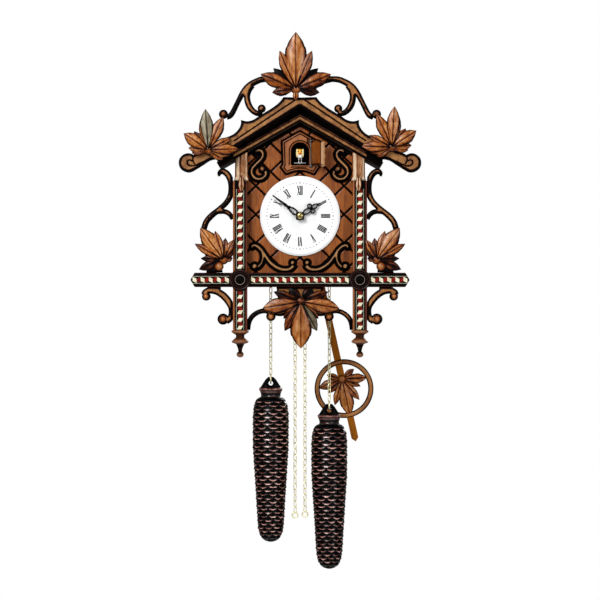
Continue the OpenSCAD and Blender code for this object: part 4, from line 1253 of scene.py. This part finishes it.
def dial_marks():
    """Printed numerals and the ring of minute dots."""
    low, high = box_mm("dial")
    cx, cz, face = (low[0] + high[0]) / 2, (low[2] + high[2]) / 2, low[1]
    foot, height, track = 23.2, 9.9, 36.4
    marks, dots = Shells(), Shells()
    for hour, word in enumerate(NUMERALS):
        a = math.radians(30 * hour)
        out, side = Vector((math.sin(a), math.cos(a))), Vector((math.cos(a), -math.sin(a)))
        for (x0, z0), (x1, z1), width in numeral_strokes(word, height):
            p = Vector((cx, cz)) + side * x0 + out * (foot + z0)
            q = Vector((cx, cz)) + side * x1 + out * (foot + z1)
            ribbon(marks, [p, q], width, face - 0.2, face + 0.05, chamfer=0.03)
    for minute in range(60):
        a = math.radians(6 * minute)
        r = 0.75 if minute % 5 == 0 else 0.5
        lathe(dots, [(0, 0.1), (0.8 * r, 0.1), (r, 0.02), (r, -0.05), (0, -0.05)],
              (cx + track * math.sin(a), face, cz + track * math.cos(a)), "y", 14)
    make("dial_numerals", marks, ink)
    make("dial_minute_dots", dots, dot_grey)


dot_grey = paint("minute_dot_grey", (0.13, 0.13, 0.13), (0.22, 0.22, 0.22), 0.5, 900)
dial_marks()


def oval(centre, half_s, half_t, count=28, point=0.0):
    """A closed loop along a hand; point sharpens its outer end."""
    path = []
    for k in range(count):
        a = 2 * math.pi * k / count
        reach_s = half_s * math.cos(a)
        narrow = 1 - point * max(0.0, math.cos(a)) ** 2
        path.append((centre[0] + reach_s, centre[1] + half_t * math.sin(a) * narrow))
    return path


def hand(name, cad_node, front, body, parts, stands_for):
    """A pierced serpentine hand from loops and blades given along and across the hand."""
    pivot = pivot_mm("minute_turn")
    angle, _ = reach(cad_node, pivot)
    out, side = Vector((-math.sin(angle), math.cos(angle))), Vector((math.cos(angle), math.sin(angle)))
    shells = Shells()
    for closed, path, widths in parts:
        ribbon(shells, [Vector((pivot[0], pivot[2])) + s * out + t * side for s, t in path], widths, front, front + 1,
               closed=closed, chamfer=0.2)
    return make(name, shells, black, body, stands_for)


def minute_hand():
    pivot = pivot_mm("minute_turn")
    _, length = reach("minute_hand", pivot)
    front = box_mm("minute_hand")[0][1]
    parts = [(True, oval((0, 0), 3.2, 3.2), 2.6),
             (True, oval((9.0, 0), 6.0, 2.5, point=0.3), 2.0),
             (False, [(5.5, -3.4), (7.6, -2.8), (9.4, -3.0)], [0.5, 1.8, 0.5]),
             (False, [(13.8, 0), (15.2, 0), (16.6, 0)], [2.0, 5.6, 2.0]),
             (False, [(14, 0), (length * 0.6, 0), (length, 0)], [3.2, 2.8, 1.2]),
             (False, [(19.2, 0), (20.6, 0), (22.0, 0)], [1.8, 3.8, 1.8])]
    hand("minute_hand_serpentine", "minute_hand", front, "minute", parts, ["minute_hand"])


def hour_hand():
    pivot = pivot_mm("minute_turn")
    _, length = reach("hour_hand", pivot)
    front, rear = box_mm("hour_hand")[0][1], box_mm("hour_hand")[1][1]
    parts = [(True, oval((0, 0), 3.6, 3.6), 2.4),
             (True, oval((9.4, 0), 4.9, 2.5), 1.8),
             (True, oval((14.8, 3.4), 2.2, 2.1), 1.6),
             (True, oval((14.8, -3.4), 2.2, 2.1), 1.6),
             (True, oval((19.6, 0), 3.8, 2.2, point=0.75), 1.6),
             (False, [(12.8, 0), (14.4, 0), (16.2, 0)], [1.2, 3.6, 1.2]),
             (False, [(22.6, 0), (24.0, 0), (length, 0)], [1.4, 2.0, 0.6])]
    hand("hour_hand_serpentine", "hour_hand", front, "hour", parts, ["hour_hand"])
    pipe = Shells()
    bore, wall, wheel, teeth = 0.85, 2.5, 8.8, 40
    rings = []
    for r, y in ((bore, front + 1.5), (wall, front + 1.5), (wall, rear), (bore, rear)):
        rings.append([(pivot[0] + r * math.cos(2 * math.pi * k / 32), y, pivot[2] + r * math.sin(2 * math.pi * k / 32))
                      for k in range(32)])
    faces = [(i * 32 + k, i * 32 + (k + 1) % 32, (i + 1) % 4 * 32 + (k + 1) % 32, (i + 1) % 4 * 32 + k)
             for i in range(4) for k in range(32)]
    pipe.add([p for ring in rings for p in ring], faces)
    rim = []
    for k in range(teeth * 4):
        r = wheel if k % 4 in (0, 1) else wheel - 0.9
        a = 2 * math.pi * (k + (0.2 if k % 2 else -0.2)) / (teeth * 4)
        rim.append((r * math.cos(a), r * math.sin(a)))
    n = len(rim)
    verts = [(pivot[0] + x, y, pivot[2] + z) for y in (rear - 1.5, rear) for x, z in rim]
    verts += [(pivot[0] + wall * x / math.hypot(x, z), y, pivot[2] + wall * z / math.hypot(x, z))
              for y in (rear - 1.5, rear) for x, z in rim]
    faces = []
    for k in range(n):
        j = (k + 1) % n
        faces += [(k, j, n + j, n + k), (2 * n + k, 3 * n + k, 3 * n + j, 2 * n + j), (k, 2 * n + k, 2 * n + j, j),
                  (n + k, n + j, 3 * n + j, 3 * n + k)]
    pipe.add(verts, faces)
    make("hour_pipe", pipe, brass, "hour")


def hand_nut():
    """A domed brass nut with a dark centre."""
    low, high = box_mm("hand_nut")
    centre = ((low[0] + high[0]) / 2, high[1], (low[2] + high[2]) / 2)
    r, full = (high[0] - low[0]) / 2, high[1] - low[1]
    nut = Shells()
    lathe(nut, [(0, 0), (r, 0), (r, 0.35 * full), (0.92 * r, 0.6 * full), (0.7 * r, 0.85 * full), (0.4 * r, full),
                (0.25 * r, 0.98 * full), (0.2 * r, 0.55 * full), (0, 0.5 * full)], centre, "y", 40)
    make("hand_nut_dome", nut, nut_brass, "minute", ["hand_nut"])
    boss = Shells()
    for turn in range(4):
        a = math.radians(45 + 90 * turn)
        x, z = centre[0] + 4.4 * math.cos(a), centre[2] + 4.4 * math.sin(a)
        ball(boss, (x, high[1] + 0.5, z), (1.5, 0.5, 1.5), rings=8, sides=14)
    ball(boss, (centre[0], low[1] + 0.5 * full, centre[2]), (0.9, 0.5 * full, 0.9), rings=8, sides=14)
    make("hand_boss", boss, black, "minute")


minute_hand()
hour_hand()
hand_nut()


# ---- pendulum ----

def pendulum():
    """Ring and leaf of the pendulum, built hanging straight and then swung with the rod."""
    pivot = pivot_mm("pendulum_swing")
    rod = points_mm("pendulum_rod")[:, [0, 2]] - np.array([pivot[0], pivot[2]])
    tip = rod[np.argmax((rod ** 2).sum(1))]
    swing = math.atan2(tip[0], -tip[1])
    low, high = box_mm("pendulum_ring")
    ring_drop, outer, inner, leaf_length = 227.5, 33, 27, 42
    pivot_spot = Vector((pivot[0], 0, pivot[2])) * MM
    turn = Matrix.Translation(pivot_spot) @ Matrix.Rotation(-swing, 4, "Y") @ Matrix.Translation(-pivot_spot)
    middle = (outer + inner) / 2
    half = (outer - inner) / 2
    ring = Shells()
    count, sides = 120, 20
    verts, wear_and_painted_light = [], []
    depth = (high[1] - low[1]) / 2
    for i in range(count):
        a = 2 * math.pi * i / count
        for k in range(sides):
            b = 2 * math.pi * k / sides
            lump = (abs(math.cos(b)) ** 0.7, abs(math.sin(b)) ** 0.8)
            r = middle + half * math.copysign(lump[0], math.cos(b))
            y = (low[1] + high[1]) / 2 - 0.55 * depth * math.copysign(lump[1], math.sin(b))
            verts.append((pivot[0] + r * math.sin(a), y, pivot[2] - ring_drop + r * math.cos(a)))
            wear_and_painted_light.append((0.95 - 0.15 * math.sin(3 * a + 1)) * float(1 - smooth(lump[0], 0.45, 0.8)) * (math.sin(b) > 0))
    faces = [(i * sides + k, i * sides + (k + 1) % sides, (i + 1) % count * sides + (k + 1) % sides,
              (i + 1) % count * sides + k) for i in range(count) for k in range(sides)]
    ring.add(verts, faces, wear_and_painted_light)
    make("pendulum_ring_band", ring, carved, "pendulum_bob", ["pendulum_ring"], matrix=turn)
    leaf_shells = Shells()
    hub = (pivot[0], pivot[2] - ring_drop + 11)
    for order, (angle, length, width, burn) in enumerate(maple(leaf_length, 1.2)):
        lobe(leaf_shells, hub, 180 + angle, length, width, low[1] + 0.45 * min(order, 7), high[1] - 2.6, order,
             min(burn, 0.15))
    berry(leaf_shells, hub[0], low[1] + 3.4, hub[1], 4.6)
    make("pendulum_leaf", leaf_shells, leafy, "pendulum_bob", matrix=turn)


pendulum()


# ---- weights and chains ----

LINK_PITCH = 6.46
WIRE = 0.5
SCALES_ROUND = 9
SCALE_PITCH = 4.1
SCALE_RISE = 1.5


def weight(cad_node, body):
    """A cast pine cone: rows of overlapping lens-shaped scales below a plain neck, and a pierced lug on top."""
    low, high = box_mm(cad_node)
    cx, cy, top = (low[0] + high[0]) / 2, (low[1] + high[1]) / 2, high[2]
    length, widest = top - low[2], (high[0] - low[0]) / 2
    outline = [(21.5, 10.5), (26, 16.8), (32, 19.6), (42, 20.6), (52, 20.75), (80, 20.6), (102, 19.2), (139, 16.8),
               (158, 15.7), (168, 14.9), (174, 13.6), (179, 11), (182.5, 6.5), (184, 1.0)]
    drops = [p[0] * length / 184 for p in outline]
    radii = [p[1] * widest / 20.75 for p in outline]
    shells = Shells()
    start, rows, sides = 23.5, 250, SCALES_ROUND * 14
    verts, wear_and_painted_light = [], []
    # per scale: how late its edge ends, and how bright its painted highlight is
    chance = [[(random.uniform(-0.14, 0.14), random.uniform(0.74, 1.0)) for _ in range(SCALES_ROUND)]
              for _ in range(int((length - start) / SCALE_PITCH) + 3)]
    for i in range(rows + 1):
        drop = start + (length - 0.3 - start) * i / rows
        plain = float(np.interp(drop, drops, radii))
        rise = min(SCALE_RISE, 0.45 * plain)
        fade = float(smooth(drop, start + 1, start + 5)) * (1 - 0.6 * float(smooth(drop, length - 10, length)))
        for k in range(sides):
            a = 2 * math.pi * k / sides
            bulge, edge = 0.0, 0.0
            place = (drop - start) / SCALE_PITCH
            for row in (math.floor(place) - 1, math.floor(place)):
                turned = (a / (2 * math.pi) * SCALES_ROUND + 0.5 * (row % 2)) % SCALES_ROUND
                s = turned % 1 - 0.5
                late, bright = chance[row + 1][int(turned)]
                lens = math.cos(math.pi * s)
                end = row + 1 + 0.5 * lens + late * lens
                t = (place - row) / (end - row)
                if 0 <= t <= 1:
                    lift = (0.15 + 0.85 * t ** 1.5) * (0.25 + 0.75 * lens ** 0.7)
                    if lift > bulge:
                        bulge = lift
                        # painted highlight, partly copper wear, along the lower edge of each scale
                        edge = float(smooth(t, 0.62, 0.84)) * lens ** 0.3 * bright
            r = plain - rise * fade * (1 - bulge)
            verts.append((cx + r * math.cos(a), cy + r * math.sin(a), top - drop))
            wear_and_painted_light.append(edge * fade)
    faces = [(i * sides + k, i * sides + (k + 1) % sides, (i + 1) * sides + (k + 1) % sides, (i + 1) * sides + k)
             for i in range(rows) for k in range(sides)]
    faces += [tuple(range(sides))[::-1], tuple(rows * sides + k for k in range(sides))]
    shells.add(verts, faces, wear_and_painted_light)
    # the third values on the neck rings paint highlights on them
    neck = [(0, -12, 0), (11.9, -12, 0.2), (13, -13.2, 0.7), (13, -14.4, 0.8), (12.5, -15.6, 0.4), (11.8, -17.2, 0.75),
            (11.2, -19, 0.2), (10.8, -20.6, 0.5), (11.2, -22.4, 0.6), (12.5, -23.6, 0.2), (11, -27, 0), (0, -27, 0)]
    lathe(shells, neck, (cx, cy, top), "z", 64)
    lug = [(3, -0.5), (6, -3.5), (12.2, -13.2), (12.2, -15)]
    loop = [(cx + x, top + z) for x, z in lug][::-1] + [(cx - x, top + z) for x, z in lug]
    hole = [(cx + 2.5 * math.sin(2 * math.pi * k / 28), top - 7.5 + 2.5 * math.cos(2 * math.pi * k / 28))
            for k in range(28)]
    relief(shells, [loop[::-1] if area(loop) < 0 else loop, hole], cy - 3, cy + 3, rounded(0.9, 1.2, (0.6, 7.0)), grid=1.2,
           rings=(0.5, 1.1), behind=0.0)
    make(cad_node + "_cone", shells, iron, body, [cad_node])


def link(shells, centre, turn, half_length, half_width):
    """One link: a stretched ring of wire, turned about the line of the chain."""
    straight = half_length - half_width
    across = Vector((math.cos(turn), math.sin(turn), 0))
    path = []
    for end in (1, -1):
        for k in range(7):
            a = math.pi * k / 6
            path.append(Vector(centre) + end * (half_width * math.cos(a) * across
                                                + Vector((0, 0, straight + half_width * math.sin(a)))))
    tube(shells, path, WIRE, across.cross(Vector((0, 0, 1))), closed=True, sides=6)


def chain(cad_node, body, ring_radius, ring_wire, ring_normal):
    """A strand of links down to its ring."""
    low, high = box_mm(cad_node)
    cx, cy = (low[0] + high[0]) / 2, (low[1] + high[1]) / 2
    ring_z = low[2] + ring_radius + ring_wire
    shells = Shells()
    normal = Vector(ring_normal)
    side = normal.cross(Vector((0, 0, 1)))
    path = []
    for k in range(36):
        a = 2 * math.pi * k / 36
        path.append(Vector((cx, cy, ring_z)) + ring_radius * (math.cos(a) * Vector((0, 0, 1)) + math.sin(a) * side))
    tube(shells, path, ring_wire, normal, closed=True, sides=10)
    half_length = LINK_PITCH / 2 + WIRE
    z = ring_z + ring_radius - ring_wire + WIRE + LINK_PITCH / 2
    i = 0
    while z + half_length < high[2]:
        link(shells, (cx, cy, z), math.pi / 4 + (i % 2) * math.pi / 2 + random.uniform(-0.15, 0.15), half_length, 1.7)
        z += LINK_PITCH
        i += 1
    make(cad_node + "_links", shells, pale_brass, body, [cad_node])


for name in ("weight_left", "weight_right"):
    weight(name, BODY[name])
for name in ("left_chain", "right_chain"):
    chain(name, BODY[name], 5.0, 0.9, (1, 0, 0))
for name in ("left_chain_tail", "right_chain_tail"):
    chain(name, BODY[name], 3.0, 0.8, (0, 1, 0))


# ---- stage ----

def area_light(name, place, target, size, power):
    light = bpy.data.lights.new(name, "AREA")
    light.shape = "DISK"
    light.size = size
    light.energy = power
    obj = bpy.data.objects.new(name, light)
    obj.location = place
    obj.rotation_euler = (Vector(target) - Vector(place)).to_track_quat("-Z", "Y").to_euler()
    bpy.context.scene.collection.objects.link(obj)


def stage():
    """White surroundings, a pale floor, two soft lamps, and a long lens straight in front."""
    low, high = cad_box
    middle = Vector(((low[0] + high[0]) / 2, (low[1] + high[1]) / 2, -0.185))
    world = bpy.data.worlds.new("studio")
    bpy.context.scene.world = world
    world.use_nodes = True
    tree = world.node_tree
    for old in list(tree.nodes):
        tree.nodes.remove(old)
    seen = node(tree, "ShaderNodeBackground", {"Color": (1, 1, 1, 1), "Strength": 1.0})
    lit = node(tree, "ShaderNodeBackground", {"Color": (1, 1, 1, 1), "Strength": 0.22})
    camera_ray = node(tree, "ShaderNodeLightPath").outputs["Is Camera Ray"]
    mix = node(tree, "ShaderNodeMixShader", {0: camera_ray, 1: lit.outputs[0], 2: seen.outputs[0]})
    node(tree, "ShaderNodeOutputWorld", {"Surface": mix.outputs[0]})
    floor = Shells()
    lathe(floor, [(0, 0), (600, 0), (600, -4), (0, -4)], (0, -450, low[2] / MM - 170), "z", 96)
    mesh = bpy.data.meshes.new("floor")
    mesh.from_pydata([Vector(v) * MM for v in floor.verts], [], floor.faces)
    mesh.materials.append(paint("pale_floor", (0.86, 0.86, 0.86), (0.92, 0.92, 0.92), 0.6, 8))
    obj = bpy.data.objects.new("floor", mesh)
    bpy.context.scene.collection.objects.link(obj)
    area_light("key_lamp", (-0.75, -1.7, 0.75), middle, 0.9, 31)
    area_light("fill_lamp", (1.1, -1.6, 0.1), middle, 0.8, 8)
    area_light("top_lamp", (0.1, -0.5, 1.3), middle, 0.7, 6)
    area_light("back_lamp", (0.8, 1.6, 0.5), middle, 0.9, 12)
    camera = bpy.data.cameras.new("camera")
    away, field = 5.0, 0.660
    camera.sensor_width = 36
    camera.lens = camera.sensor_width * away / field
    view = bpy.data.objects.new("camera", camera)
    view.location = (0, -0.115 - away, middle.z)
    view.rotation_euler = (math.pi / 2, 0, 0)
    bpy.context.scene.collection.objects.link(view)
    bpy.context.scene.camera = view
    bpy.context.scene.view_settings.view_transform = "Standard"


stage()
